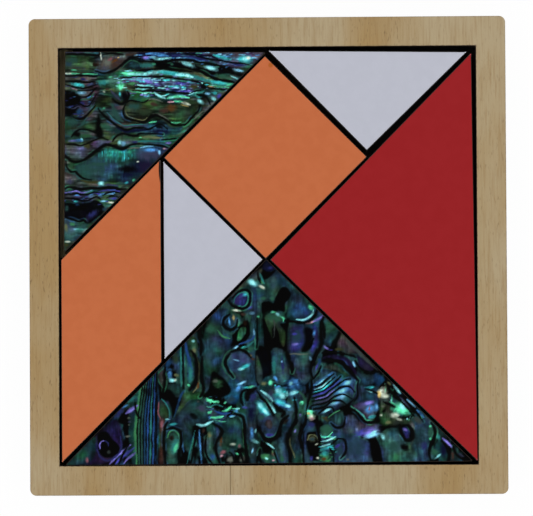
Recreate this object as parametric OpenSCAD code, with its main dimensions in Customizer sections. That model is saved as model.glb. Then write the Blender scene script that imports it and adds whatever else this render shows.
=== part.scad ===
// A tangram puzzle: seven flat tiles resting in a shallow square tray.
// The origin is under the middle of the tray, with +Z up and +Y to the top of the layout.

/* [Tray] */
// Width of the recess between two opposite walls, which is the side of the whole tangram square
recess_w = 100; // [60:1:200]
// Width of the wooden rail on each side of the recess
rail_w = 7; // [4:0.5:20]
// Thickness of the rail ring, which is the depth of the recess
rail_t = 3; // [2:0.5:8]
// Thickness of the board that closes the recess from below
back_t = 3; // [1.5:0.5:8]
// Radius of the tray's four outside corners, seen from above
tray_corner_r = 1.5; // [0.5:0.1:4]
// Radius that the cut leaves in the recess's four inside corners
recess_corner_r = 0.4; // [0.1:0.05:0.8]

/* [Tiles] */
// Material that the cut takes off every side of a tile, so that the set lies loose
tile_slack = 0.5; // [0.3:0.05:1]
// Radius of a tile's corners, seen from above
tile_corner_r = 0.2; // [0.1:0.05:0.5]
// Width and depth of the eased edge around a tile's face
edge_ease = 0.15; // [0.05:0.05:0.3]
// How far the tiles' faces lie below the top of the rail
face_drop = 0.05; // [0:0.05:0.5]
// Thickness of the shell veneer on the two shell tiles
shell_t = 0.4; // [0.2:0.05:1]

/* [Hidden] */
$fn = 48;

tray_w = recess_w + 2 * rail_w;
tile_t = rail_t - face_drop;
half = recess_w / 2;
quarter = recess_w / 4;

// Nominal outlines of the seven tiles: the square cut along its classic lines, before the slack is taken off
red_triangle = [[0, 0], [half, -half], [half, half]];
shell_triangle = [[0, 0], [-half, -half], [half, -half]];
medium_triangle = [[-half, half], [-half, 0], [0, half]];
square_tile = [[0, 0], [quarter, quarter], [0, half], [-quarter, quarter]];
parallelogram_tile = [[-half, -half], [-quarter, -quarter], [-quarter, quarter], [-half, 0]];
top_triangle = [[quarter, quarter], [half, half], [0, half]];
left_triangle = [[0, 0], [-quarter, quarter], [-quarter, -quarter]];

// How each loose tile lies off its nominal place, all in units of the slack:
// to the right, up, and the rise of its right end across the width of the recess
red_lie = [-0.3, -1.3, 1.9];
shell_lie = [-0.3, -0.15, 1.3];
medium_lie = [2.0, -0.9, -1.85];
square_lie = [-0.9, -2.9, -0.35];
parallelogram_lie = [0.05, -1.0, 0];
top_lie = [-2.0, -1.4, -2.6];
left_lie = [-0.8, -1.8, 0.35];

function total(points, i = 0) = i < len(points) ? points[i] + total(points, i + 1) : [0, 0];
function middle(points) = total(points) / len(points);

// A square with true round corners
module rounded_square(w, r) {
    square([w, w - 2 * r], center = true);
    square([w - 2 * r, w], center = true);
    for (x = [-1, 1], y = [-1, 1])
        translate([x, y] * (w / 2 - r)) circle(r);
}

// A tile's cut outline, with its slack and any further margin taken off and its corners rounded
module tile_outline(points, margin = 0) {
    offset(r = tile_corner_r, $fn = 24)
        offset(delta = -(tile_slack + tile_corner_r + margin))
            polygon(points);
}

// Moves a tile from its nominal place to where it lies, floor_z above the recess's floor
module lay(points, lie, floor_z = 0) {
    c = middle(points);
    translate([c[0], c[1], back_t + floor_z])
        translate([lie[0], lie[1], 0] * tile_slack)
            rotate(atan(lie[2] * tile_slack / recess_w))
                translate([-c[0], -c[1], 0])
                    children();
}

// A flat sheet of a tile with its top edge eased
module eased_sheet(points, t) {
    hull() {
        linear_extrude(t - edge_ease) tile_outline(points);
        linear_extrude(t) tile_outline(points, edge_ease);
    }
}

// A tile of one board with a lacquered face
module plain_tile(points, lie) {
    lay(points, lie) eased_sheet(points, tile_t);
}

// The board under a shell veneer
module carrier_board(points, lie) {
    lay(points, lie) linear_extrude(tile_t - shell_t) tile_outline(points);
}

// The shell veneer on its board
module shell_veneer(points, lie) {
    lay(points, lie, tile_t - shell_t) eased_sheet(points, shell_t);
}

module tray_back() {
    color("burlywood") linear_extrude(back_t) rounded_square(tray_w, tray_corner_r);
}

module tray_rail() {
    color("tan") translate([0, 0, back_t]) linear_extrude(rail_t)
        difference() {
            rounded_square(tray_w, tray_corner_r);
            rounded_square(recess_w, recess_corner_r);
        }
}

module large_triangle_red() {
    color("firebrick") plain_tile(red_triangle, red_lie);
}

module large_triangle_board() {
    color("dimgray") carrier_board(shell_triangle, shell_lie);
}

module large_triangle_shell() {
    color("darkslategray") shell_veneer(shell_triangle, shell_lie);
}

module medium_triangle_board() {
    color("dimgray") carrier_board(medium_triangle, medium_lie);
}

module medium_triangle_shell() {
    color("darkslategray") shell_veneer(medium_triangle, medium_lie);
}

module square_orange() {
    color("coral") plain_tile(square_tile, square_lie);
}

module parallelogram_orange() {
    color("coral") plain_tile(parallelogram_tile, parallelogram_lie);
}

module small_triangle_white_top() {
    color("lavender") plain_tile(top_triangle, top_lie);
}

module small_triangle_white_left() {
    color("lavender") plain_tile(left_triangle, left_lie);
}

tray_back();
tray_rail();
large_triangle_red();
large_triangle_board();
large_triangle_shell();
medium_triangle_board();
medium_triangle_shell();
square_orange();
parallelogram_orange();
small_triangle_white_top();
small_triangle_white_left();
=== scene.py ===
import math
from functools import partial

import bmesh
import bpy
import numpy as np
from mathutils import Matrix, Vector
from mathutils.geometry import convex_hull_2d


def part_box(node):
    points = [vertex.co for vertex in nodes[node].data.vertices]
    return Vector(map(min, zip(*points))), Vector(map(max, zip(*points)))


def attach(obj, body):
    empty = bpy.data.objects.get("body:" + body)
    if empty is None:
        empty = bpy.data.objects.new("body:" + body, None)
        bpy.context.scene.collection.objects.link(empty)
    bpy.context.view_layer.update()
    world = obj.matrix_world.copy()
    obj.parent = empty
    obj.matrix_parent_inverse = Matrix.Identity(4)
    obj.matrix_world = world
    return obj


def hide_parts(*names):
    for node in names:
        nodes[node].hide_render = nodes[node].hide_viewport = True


# A tangram set lying in its tray, seen from above
# Settings are in mm from the middle of the tray, with x to the right and y up in the picture
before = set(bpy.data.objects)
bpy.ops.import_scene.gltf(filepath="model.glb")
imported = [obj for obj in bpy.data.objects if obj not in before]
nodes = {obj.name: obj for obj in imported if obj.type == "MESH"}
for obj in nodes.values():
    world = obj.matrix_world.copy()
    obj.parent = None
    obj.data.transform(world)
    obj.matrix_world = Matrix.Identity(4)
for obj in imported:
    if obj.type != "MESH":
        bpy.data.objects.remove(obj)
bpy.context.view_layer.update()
mm = 0.001


def toLinear(values):
    # sRGB values from 0 to 1, as one array, to linear ones
    values = np.clip(np.asarray(values, float), 0, 1)
    return np.where(values <= 0.04045, values / 12.92, ((values + 0.055) / 1.055) ** 2.4)


def srgb(hexColour):
    return np.array([int(hexColour[i:i + 2], 16) / 255 for i in (1, 3, 5)])


def linear(hexColour):
    return [float(c) for c in toLinear(srgb(hexColour))] + [1.0]


def addNode(tree, kind, inputs=(), stops=(), **settings):
    # Adds a node with its settings and links. Its inputs are listed in order or named, and each is a plain
    # value, an output, or a node, which stands for its first output in use
    node = tree.nodes.new("ShaderNode" + kind)
    for name, value in settings.items():
        setattr(node, name, value)
    inUse = [socket for socket in node.inputs if socket.enabled]
    for key, value in inputs.items() if isinstance(inputs, dict) else enumerate(inputs):
        socket = inUse[key] if isinstance(key, int) else node.inputs[key]
        if isinstance(value, bpy.types.Node):
            value = next(output for output in value.outputs if output.enabled)
        if isinstance(value, bpy.types.NodeSocket):
            tree.links.new(value, socket)
        else:
            socket.default_value = value
    if stops:
        elements = node.color_ramp.elements
        while len(elements) < len(stops):
            elements.new(0.5)
        for element, (position, colour) in zip(elements, stops):
            element.position = position
            element.color = colour
    return node


def newMaterial(name):
    # An empty material, and addNode for its tree
    material = bpy.data.materials.new(name)
    material.use_nodes = True
    material.node_tree.nodes.clear()
    return material, partial(addNode, material.node_tree)


def placeInMm(add):
    # Place on the piece in mm, its coordinates, and how far the surface faces up or down
    coordinates = add("TexCoord")
    place = add("VectorMath", [coordinates.outputs["Object"], 1 / mm], operation="SCALE")
    facing = add("SeparateXYZ", [coordinates.outputs["Normal"]])
    level = add("Math", [facing.outputs["Z"]], operation="ABSOLUTE")
    return place, add("SeparateXYZ", [place]).outputs, level


patternNoise = {"roughness": 0.55, "shiftBy": (1, 1.7, 0.6)}


def flecks(add, place, size, levels, detail, shift):
    # Noise with marks about size (x, y, z) mm, as a share that is 0 at the first level of the noise and 1 at
    # the second. The shift keeps the patterns of a material apart
    mapped = add("Mapping", {
        "Vector": place, "Location": tuple(shift * part for part in patternNoise["shiftBy"]),
        "Scale": tuple(1 / s for s in size),
    })
    noise = add("TexNoise", {
        "Vector": mapped, "Scale": 1.0, "Detail": detail, "Roughness": patternNoise["roughness"],
    })
    return add("MapRange", [noise, *levels], interpolation_type="SMOOTHSTEP")


markFade = (1.2, 0.7)  # from where to where a mark fades in, as a share of its half size


def addMarks(add, place, colour, marks):
    # Soft oval marks over the colour, each with its colour, strength, x, y, half width and half height
    for markColour, strength, x, y, halfWidth, halfHeight in marks:
        mapped = add("Mapping", {
            "Vector": place, "Location": (-x / halfWidth, -y / halfHeight, 0),
            "Scale": (1 / halfWidth, 1 / halfHeight, 0),
        })
        reach = add("VectorMath", [mapped], operation="LENGTH").outputs["Value"]
        share = add("MapRange", [reach, *markFade, 0.0, strength], interpolation_type="SMOOTHSTEP")
        colour = add("Mix", [share, colour, linear(markColour)], data_type="RGBA")
    return colour


print("materials")

# Walls cut by a laser: a dull black char with upright ribs from the pulses of the beam. An eased edge chars
# from one level to the other, where 1 is flat and 0 upright
char = {
    "dark": "#120906",
    "pale": "#22160d",
    "ribs": {"size": (0.25, 0.25, 5), "levels": (0.3, 0.7), "detail": 2.0, "shift": 0.4},
    "faceLevel": (0.97, 0.8),
    "roughness": 0.75,
    "specular": 0.2,
}


def charWalls(add, place, level, colour):
    # The colour on level faces, and char on walls and eased edges
    ribs = flecks(add, place, **char["ribs"])
    burnt = add("Mix", [ribs, linear(char["dark"]), linear(char["pale"])], data_type="RGBA")
    wall = add("MapRange", [level, *char["faceLevel"]], interpolation_type="SMOOTHSTEP")
    return add("Mix", [wall, colour, burnt], data_type="RGBA")


# Sheet of pale straight-grained wood, sanded and thinly sealed: all four rails show broad brown bands along
# y, faint fibres, short dark pores, a light scorch beside the cuts, and one hairline across the bottom rail
# Bands give the x of a band and how brown it is, from 0 to 1
woodSheet = {
    "pale": "#a99878",
    "brown": "#9d8256",
    "topBands": [
        (-57, 0.65), (-51, 0.2), (-43, 0.2), (-38, 0.45), (-35, 0.45), (-31.5, 0.9), (-29, 0.85),
        (-24, 0.4), (-16, 0.5), (-12, 0.75), (-10.4, 1), (-4, 0.9), (-1, 0.55), (1, 0.25), (5, 0), (16, 0),
        (21, 0.6), (24, 1), (27, 0.9), (31, 0.6), (36, 0.25), (44, 0), (57, 0.15),
    ],
    "bottomBands": [
        (-57, 0.1), (-52, 0.2), (-47, 0.6), (-42, 0.9), (-38, 0.7), (-32, 0.65), (-28, 0.2), (-20, 0.1),
        (-11, 0.2), (-7, 0.35), (-2, 0.8), (3, 0.5), (8, 0.9), (12, 0.4), (17, 0.15), (32, 0), (34, 0.2),
        (38, 0.6), (45, 0.85), (50, 0.55), (57, 0.2),
    ],
    "leftBrown": 0.82,
    "rightBrown": 0.3,
    "sideBlend": 1,  # half the width over which one rail's colour passes into the next one's
    "cornerBlend": (3, -12),  # the same towards the corners, from and to, past the recess's corner
    "wander": {"size": (14, 40, 20), "levels": (0.2, 0.8), "detail": 1.0, "shift": 3.1},
    "wanderReach": 2.2,
    "cloud": {"size": (9, 22, 9), "levels": (0.25, 0.75), "detail": 2.0, "shift": 9.4},
    "cloudShare": 0.5,
    "fibre": {"size": (0.45, 7, 3), "levels": (0.42, 0.72), "detail": 4.0, "shift": 7.3},
    "fibreColour": "#8a6c41",
    "fibreShare": 0.42,
    "fibreBump": 0.25,
    "fibreDepth": 0.03,
    "pore": {"size": (0.34, 1.6, 1), "levels": (0.6, 0.78), "detail": 1.0, "shift": 5.5},
    "poreColour": "#6f5838",
    "poreShare": (0.25, 0.7),
    "scorchColour": "#3c2a1a",
    "scorchWidth": 0.22,
    "scorchShare": 0.8,
    "scorchRag": {"size": (0.8, 0.8, 0.8), "levels": (0.3, 0.7), "detail": 2.0, "shift": 2.2},
    "ragReach": 0.1,
    "marks": [("#655232", 0.65, -9.2, -53.5, 0.17, 9)],
    "roughness": 0.6,
    "specular": 0.3,
}


def woodMaterial(name, settings, halfWidth, recessHalf):
    material, add = newMaterial(name)
    place, (x, y, z), level = placeInMm(add)
    # Slow wander of the grain, so that no line is ruler straight
    reach = settings["wanderReach"]
    swayed = add("Math", [flecks(add, place, **settings["wander"]), reach, x], operation="MULTIPLY_ADD")
    along = add("MapRange", [swayed, -halfWidth + reach / 2, halfWidth + reach / 2])
    bands = []
    for key in ("bottomBands", "topBands"):
        stops = [((at / halfWidth + 1) / 2, (share, share, share, 1)) for at, share in settings[key]]
        bands.append(add("ValToRGB", [along], stops))
    upwards = add("MapRange", [y, -recessHalf, recessHalf], interpolation_type="SMOOTHSTEP")
    sheet = add("Mix", [upwards, *bands], data_type="RGBA")
    # The side rails each have one brown between the corners
    blended = settings["sideBlend"]
    right = add("MapRange", [x, -blended, blended])
    sides = add("Mix", [right, settings["leftBrown"], settings["rightBrown"]])
    outX = add("Math", [x], operation="ABSOLUTE")
    outY = add("Math", [y], operation="ABSOLUTE")
    beside = add("MapRange", [outX, recessHalf - blended, recessHalf + blended],
                 interpolation_type="SMOOTHSTEP")
    within = add("MapRange", [outY, *(recessHalf + past for past in settings["cornerBlend"])],
                 interpolation_type="SMOOTHSTEP")
    brownness = add("Mix", [add("Math", [beside, within], operation="MULTIPLY"), sheet, sides])
    cloud = flecks(add, place, **settings["cloud"])
    cloudy = add("Math", [cloud, settings["cloudShare"], brownness], operation="MULTIPLY_ADD")
    shade = add("Math", [cloudy, settings["cloudShare"] / 2], operation="SUBTRACT")
    colour = add("Mix", [shade, linear(settings["pale"]), linear(settings["brown"])], data_type="RGBA")
    fibres = flecks(add, place, **settings["fibre"])
    share = add("Math", [fibres, settings["fibreShare"]], operation="MULTIPLY")
    colour = add("Mix", [share, colour, linear(settings["fibreColour"])], data_type="RGBA")
    # Pores are denser in the brown bands
    pores = flecks(add, place, **settings["pore"])
    density = add("MapRange", [shade, 0.0, 1.0, *settings["poreShare"]])
    share = add("Math", [pores, density], operation="MULTIPLY")
    colour = add("Mix", [share, colour, linear(settings["poreColour"])], data_type="RGBA")
    colour = addMarks(add, place, colour, settings["marks"])
    # Scorch beside both cut edges of the face
    outwards = add("Math", [outX, outY], operation="MAXIMUM")
    toOuter = add("Math", [halfWidth, outwards], operation="SUBTRACT")
    toInner = add("Math", [outwards, recessHalf], operation="SUBTRACT")
    toCut = add("Math", [toOuter, toInner], operation="MINIMUM")
    ragged = add("Math", [flecks(add, place, **settings["scorchRag"]), settings["ragReach"], toCut],
                 operation="MULTIPLY_ADD")
    scorch = add("MapRange", [ragged, settings["scorchWidth"], 0.0, 0.0, settings["scorchShare"]],
                 interpolation_type="SMOOTHSTEP")
    colour = add("Mix", [scorch, colour, linear(settings["scorchColour"])], data_type="RGBA")
    bumps = add("Bump", {
        "Height": fibres, "Strength": settings["fibreBump"], "Distance": settings["fibreDepth"] * mm,
    })
    shader = add("BsdfPrincipled", {
        "Base Color": charWalls(add, place, level, colour), "Roughness": settings["roughness"],
        "Specular IOR Level": settings["specular"], "Normal": bumps,
    })
    add("OutputMaterial", [shader])
    return material


# Satin lacquer sprayed on board, laser cut afterwards: an even face with a soft gloss, a very faint mottle
# and the fine waves of a sprayed skin, and char on the walls
satin = {
    "mottling": {"size": (2.5, 2.5, 2.5), "levels": (0.35, 0.65), "detail": 3.0, "shift": 8.8},
    "skin": {"size": (0.9, 0.9, 0.9), "levels": (0.2, 0.8), "detail": 2.0, "shift": 4.1},
    "skinBump": 0.1,
    "skinDepth": 0.02,
    "marks": [],
    "roughness": 0.42,
    "specular": 0.3,
}
# The beam charred the top of the parallelogram's right edge and browned a spot at the square's top corner
beamMarks = [("#140b07", 1.0, -25.55, 20.9, 0.44, 3.2), ("#a4561a", 0.8, 0.95, 45.6, 0.6, 0.6)]
lacquers = {
    "red_lacquer": {**satin, "face": "#941b1f", "mottle": "#92191d"},
    "orange_lacquer": {**satin, "face": "#bf6940", "mottle": "#bc663d", "marks": beamMarks},
    "white_lacquer": {**satin, "face": "#b9bbc7", "mottle": "#b7b9c5"},
}


def lacquerMaterial(name, settings):
    material, add = newMaterial(name)
    place, _, level = placeInMm(add)
    mottle = flecks(add, place, **settings["mottling"])
    colour = add("Mix", [mottle, linear(settings["face"]), linear(settings["mottle"])], data_type="RGBA")
    colour = addMarks(add, place, colour, settings["marks"])
    bumps = add("Bump", {
        "Height": flecks(add, place, **settings["skin"]), "Strength": settings["skinBump"],
        "Distance": settings["skinDepth"] * mm,
    })
    shader = add("BsdfPrincipled", {
        "Base Color": charWalls(add, place, level, colour), "Roughness": settings["roughness"],
        "Specular IOR Level": settings["specular"], "Normal": bumps,
    })
    add("OutputMaterial", [shader])
    return material


# Thin plain board, sanded, with charred cut walls. Under the tiles the tray's back has painted shade:
# dark all over, apart from a bare stretch beside the medium triangle
board = {
    "graining": {"size": (0.4, 7, 3), "levels": (0.35, 0.7), "detail": 4.0, "shift": 11.0},
    # the dark colour painted on as shade
    "soot": "#1d150e",
    "shadeEdge": 0.4,
    "roughness": 0.7,
    "specular": 0.3,
}
backBoard = {**board, "face": "#bcae84", "grain": "#978561", "unshadedFrom": (-52, 0), "unshadedTo": (-47, 50)}
# The boards under the veneers have no bare stretch: the painted dark covers them all over
carrierBoard = {**board, "face": "#8a7450", "grain": "#77623f", "unshadedFrom": (0, 0), "unshadedTo": (0, 0)}


def boardMaterial(name, settings):
    material, add = newMaterial(name)
    place, (x, y, z), level = placeInMm(add)
    grain = flecks(add, place, **settings["graining"])
    bare = add("Mix", [grain, linear(settings["face"]), linear(settings["grain"])], data_type="RGBA")
    # Painted shade: dark everywhere, less the bare stretch between two corners
    share = None
    for axis, low, high in zip((x, y), settings["unshadedFrom"], settings["unshadedTo"]):
        off = add("Math", [axis, (low + high) / 2], operation="SUBTRACT")
        away = add("Math", [off], operation="ABSOLUTE")
        half = (high - low) / 2
        outside = add("MapRange", [away, half, half + settings["shadeEdge"]], interpolation_type="SMOOTHSTEP")
        share = outside if share is None else add("Math", [share, outside], operation="MAXIMUM")
    colour = add("Mix", [share, bare, linear(settings["soot"])], data_type="RGBA")
    shader = add("BsdfPrincipled", {
        "Base Color": charWalls(add, place, level, colour), "Roughness": settings["roughness"],
        "Specular IOR Level": settings["specular"],
    })
    add("OutputMaterial", [shader])
    return material


print("tray and plain tiles")

# The recess's wall is the furthest out of what lies well inside the tray's outer wall
leastRail = 3
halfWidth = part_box("tray_rail")[1].x / mm
railReaches = [abs(v.co.x) / mm for v in nodes["tray_rail"].data.vertices]
recessHalf = max(reach for reach in railReaches if reach < halfWidth - leastRail)


def dress(node, material):
    nodes[node].data.materials.clear()
    nodes[node].data.materials.append(material)


dress("tray_rail", woodMaterial("sealedPaleWood", woodSheet, halfWidth, recessHalf))
dress("tray_back", boardMaterial("sandedBackBoard", backBoard))
carrier = boardMaterial("charredCarrierBoard", carrierBoard)
dress("large_triangle_board", carrier)
dress("medium_triangle_board", carrier)

plainTiles = {
    "large_triangle_red": "red_lacquer",
    "square_orange": "orange_lacquer",
    "parallelogram_orange": "orange_lacquer",
    "small_triangle_white_top": "white_lacquer",
    "small_triangle_white_left": "white_lacquer",
}
lacquered = {name: lacquerMaterial(name.replace("_lacquer", "SatinLacquer"), settings)
             for name, settings in lacquers.items()}
for node, slotName in plainTiles.items():
    dress(node, lacquered[slotName])

print("shell veneers")

# Shell veneer: slices of sea-snail shell under clear gloss lacquer. Sheets of nacre glow blue, green and
# violet, and the dark films between them show as black lines
nacre = {
    "ink": "#020303", "soot": "#07080c", "peat": "#1c120c", "navy": "#0f1430", "indigo": "#1c2258",
    "iris": "#2a2f60", "violet": "#4444a0", "lilac": "#8078d0", "grape": "#1f1934", "dusk": "#3c3f56",
    "slate": "#263e4c", "blue": "#1d4064", "cobalt": "#284c88", "azure": "#4a8ac8", "sky": "#80c4ec",
    "deep": "#1a3335", "teal": "#2a4c47", "lagoon": "#2f7a78", "aqua": "#40c2c8", "foam": "#92e8ee",
    "mint": "#60dca8", "jade": "#2e5c4a", "fern": "#44885a", "moss": "#2a3a2a", "leaf": "#2c5238",
    "olive": "#3c3e24", "khaki": "#6a7050", "ash": "#3c4442", "stone": "#646a62", "umber": "#40302a",
    "rust": "#5a3a1e", "rose": "#8a5660", "blush": "#c89aa8", "gold": "#c0a868", "pearl": "#e0ecd8",
}
nacreColour = {name: srgb(colour) for name, colour in nacre.items()}

# What both veneers share. A size is that of a noise's features in mm, and a fade or rise says over which
# values of a noise or distance a thing comes in or goes
nacreFinish = {
    "warp": 0.12, "warpSize": (1.9, 1.9),  # how far edges wander
    "baseFade": (0.0, 0.35),
    "rimLevel": 0.8, "midLevel": 1.15,  # light at a sheet's rim and middle
    "spill": 0.6,  # how soft a sheet's edge is outside its outline, as a share of inside
    "fineGlow": 0.15, "glowRange": (0.2, 2),  # fine grain of the glow, and its least and most
    "drift": 0.3, "driftSize": (2.5, 2.5),  # of hue
    "silkLines": 0.15,  # share of the growth lines that silk keeps
    "lineFade": (0.05, 0.3), "stretchSize": (4, 4), "stretchFade": (-0.25, 0.4),  # growth lines
    "glintRim": 0.8, "glintRise": 0.35,  # distance from the rim, and rise of the noise, that bring glints in
    "ragged": 0.35, "faintest": 0.75, "shimmerFade": (-0.4, 0.2),  # how bright sheets fray and fade
    "lensReach": 1.6, "lensFade": (0.3, 1.4), "streakFade": (0.3, 1.6),  # as shares of half their size
    "streakTaper": 4, "filmTaper": 5,  # ends thin out over a quarter or a fifth of the length
    "sparkle": 0.35, "sparkleFrom": (0.35, 0.7),  # from what brightness
    "filmReach": 1.0,  # how far from a film it is still felt
    "filmSwell": 0.6, "swellSize": (1.4, 1.4),  # how much the width of films changes
    "edgeGlow": 0.4, "edgeSize": (2.5, 2.5), "edgeFade": (0.0, 0.5), "toneSize": (6, 6),  # glow beside films
    "edgeAt": 0.3, "edgeWidth": 0.16,  # how far from the film it is, and how wide
    "filmLevel": 0.35,  # light right at a film
    "filmShade": 0.9, "leastShade": 0.05, "shadeSize": (1.5, 1.5),  # how far that reaches, in its widths
    "ground": 0.035, "gain": 1.03,  # black level and gain at the end
}
# Where each noise starts its random draws, counted from the veneer's own seed
draws = {
    "warp": 10, "base": 30, "silk": 45, "glow": 50, "fineGlow": 60, "darkLines": 70, "brightLines": 80,
    "grit": 90, "shimmer": 93, "swell": 94, "shade": 95, "flakes": 96, "tone": 97, "edgeGlow": 99,
    "drift": 100, "glints": 110,
}
# The noise's lattice: cells before it repeats, its turn, and the turn, doubling and shift of each octave
lattice = {
    "cells": 256, "turn": np.array([[0.96, 0.28], [-0.28, 0.96]]),
    "finer": np.array([[1.6, 1.2], [-1.2, 1.6]]), "shift": 17.7,
}


def smoothCurve(points, closed=False, steps=6):
    # Rounded curve through the given points
    p = np.array(points, float)
    before, after = (p[-1:], p[:2]) if closed else (2 * p[:1] - p[1:2], 2 * p[-1:] - p[-2:-1])
    p = np.vstack([before, p, after])
    t = np.linspace(0, 1, steps, endpoint=False)[:, None]
    pieces = []
    for a, b, c, d in zip(p, p[1:], p[2:], p[3:]):
        pieces.append(0.5 * (2 * b + (c - a) * t + (2 * a - 5 * b + 4 * c - d) * t ** 2
                             + (3 * b - a - 3 * c + d) * t ** 3))
    pieces.append(pieces[0][:1] if closed else p[-2:-1])
    return np.vstack(pieces)


def nearCurve(places, curve):
    # Distance of each place from the curve, and how far along it the nearest point is, from 0 to 1
    best = np.full(len(places), np.inf)
    along = np.zeros(len(places))
    for i, (a, b) in enumerate(zip(curve, curve[1:])):
        step = b - a
        t = np.clip(((places - a) @ step) / max(step @ step, 1e-12), 0, 1)
        gap = places - a - t[:, None] * step
        distance = np.hypot(gap[:, 0], gap[:, 1])
        closer = distance < best
        best[closer] = distance[closer]
        along[closer] = (i + t[closer]) / (len(curve) - 1)
    return best, along


def insideOutline(places, outline):
    inside = np.zeros(len(places), bool)
    px, py = places[:, 0], places[:, 1]
    for (ax, ay), (bx, by) in zip(outline, outline[1:]):
        if ay == by:
            continue
        crossing = (ay > py) != (by > py)
        inside ^= crossing & (px < ax + (py - ay) * (bx - ax) / (by - ay))
    return inside


def near(places, curve, margin):
    low = curve.min(0) - margin
    high = curve.max(0) + margin
    return np.nonzero(((places > low) & (places < high)).all(1))[0]


def smoothStep(value, low, high):
    t = np.clip((value - low) / (high - low), 0, 1)
    return t * t * (3 - 2 * t)


def tapered(width, along, taper):
    # Half the width of a line that thins out over its ends
    return 0.5 * width * np.clip(taper * np.minimum(along, 1 - along), 1 / taper, 1) ** 0.5


def blend(paint, rows, colour, share, level=1.0):
    paint[rows] += (nacreColour[colour] * np.reshape(level, (-1, 1)) - paint[rows]) * share[:, None]


def noise(settings, name, places, size, octaves=2, step=0):
    # Smooth seeded noise from about -1 to 1, with features of about size (x, y) mm. Each octave is half as
    # strong and twice as fine as the last, and turned, so that no grid shows. The step picks another noise
    total = np.zeros(len(places))
    weight = 1.0
    cells = places / np.array(size) @ lattice["turn"]
    for octave in range(octaves):
        source = np.random.default_rng(settings["seed"] + draws[name] + step + octave)
        values = source.uniform(-1, 1, (lattice["cells"], lattice["cells"]))
        whole = np.floor(cells).astype(int)
        part = smoothStep(cells - whole, 0, 1)
        (x0, y0), (x1, y1) = (whole % lattice["cells"]).T, ((whole + 1) % lattice["cells"]).T
        low = values[x0, y0] * (1 - part[:, 0]) + values[x1, y0] * part[:, 0]
        high = values[x0, y1] * (1 - part[:, 0]) + values[x1, y1] * part[:, 0]
        total += weight * (low * (1 - part[:, 1]) + high * part[:, 1])
        weight *= 0.5
        cells = cells @ lattice["finer"] + lattice["shift"]
    return total / 1.5  # the weights of two octaves together


def layBase(bent, settings):
    paint = np.tile(nacreColour[settings["base"][0]], (len(bent), 1))
    for index, colour in enumerate(settings["base"][1:]):
        field = noise(settings, "base", bent, settings["baseSize"], octaves=3, step=3 * index)
        blend(paint, np.arange(len(bent)), colour, smoothStep(field, *settings["baseFade"]))
    return paint


def laySheets(paint, bent, design, settings):
    # Broad sheets, with painted shade towards their rims and painted light in their middles
    for colour, softness, outline in design["patches"]:
        curve = smoothCurve(outline, True)
        rows = near(bent, curve, softness)
        distance, _ = nearCurve(bent[rows], curve)
        signed = np.where(insideOutline(bent[rows], curve), -distance, distance)
        inwards = smoothStep(-signed, 0, settings["rimWidth"])
        level = settings["rimLevel"] + (settings["midLevel"] - settings["rimLevel"]) * inwards
        blend(paint, rows, colour, 1 - smoothStep(signed, -softness, softness * settings["spill"]), level)


def layLayers(paint, bent, design, settings):
    # Uneven glow, stretched along the layers
    glow = (1 + settings["glow"] * noise(settings, "glow", bent, settings["layerSize"], octaves=3)
            + settings["fineGlow"] * noise(settings, "fineGlow", bent, settings["fineSize"]))
    paint *= np.clip(glow, *settings["glowRange"])[:, None]
    # Slow drift of hue, as the layers' thickness changes
    for channel in range(3):
        drift = noise(settings, "drift", bent, settings["driftSize"], step=3 * channel)
        paint[:, channel] *= 1 + settings["drift"] * drift
    # Silk: fine upright ripples in place of the growth lines
    lined = np.ones(len(bent))
    for gain, size, outline in design["silk"]:
        rows = np.nonzero(insideOutline(bent, smoothCurve(outline, True)))[0]
        paint[rows] *= (1 + gain * noise(settings, "silk", bent[rows], size))[:, None]
        lined[rows] = settings["silkLines"]
    # Growth lines: thin dark and bright layers that come and go
    for name, gain in (("darkLines", -settings["darkLines"]), ("brightLines", settings["brightLines"])):
        field = np.abs(noise(settings, name, bent, settings["lineSize"]))
        stretch = noise(settings, name, bent, settings["stretchSize"], step=5)
        presence = smoothStep(stretch, *settings["stretchFade"]) * lined
        paint *= (1 + gain * (1 - smoothStep(field, *settings["lineFade"])) * presence)[:, None]


def layGlints(paint, bent, design, settings):
    # Thin bright layers scattered over a stretch
    for index, (colours, size, low, outline) in enumerate(design["glints"]):
        curve = smoothCurve(outline, True)
        rows = np.nonzero(insideOutline(bent, curve))[0]
        within = smoothStep(nearCurve(bent[rows], curve)[0], 0, settings["glintRim"])
        for step, colour in enumerate(colours):
            field = noise(settings, "glints", bent[rows], size, step=20 * index + 3 * step)
            blend(paint, rows, colour, within * smoothStep(field, low, low + settings["glintRise"]))


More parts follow.
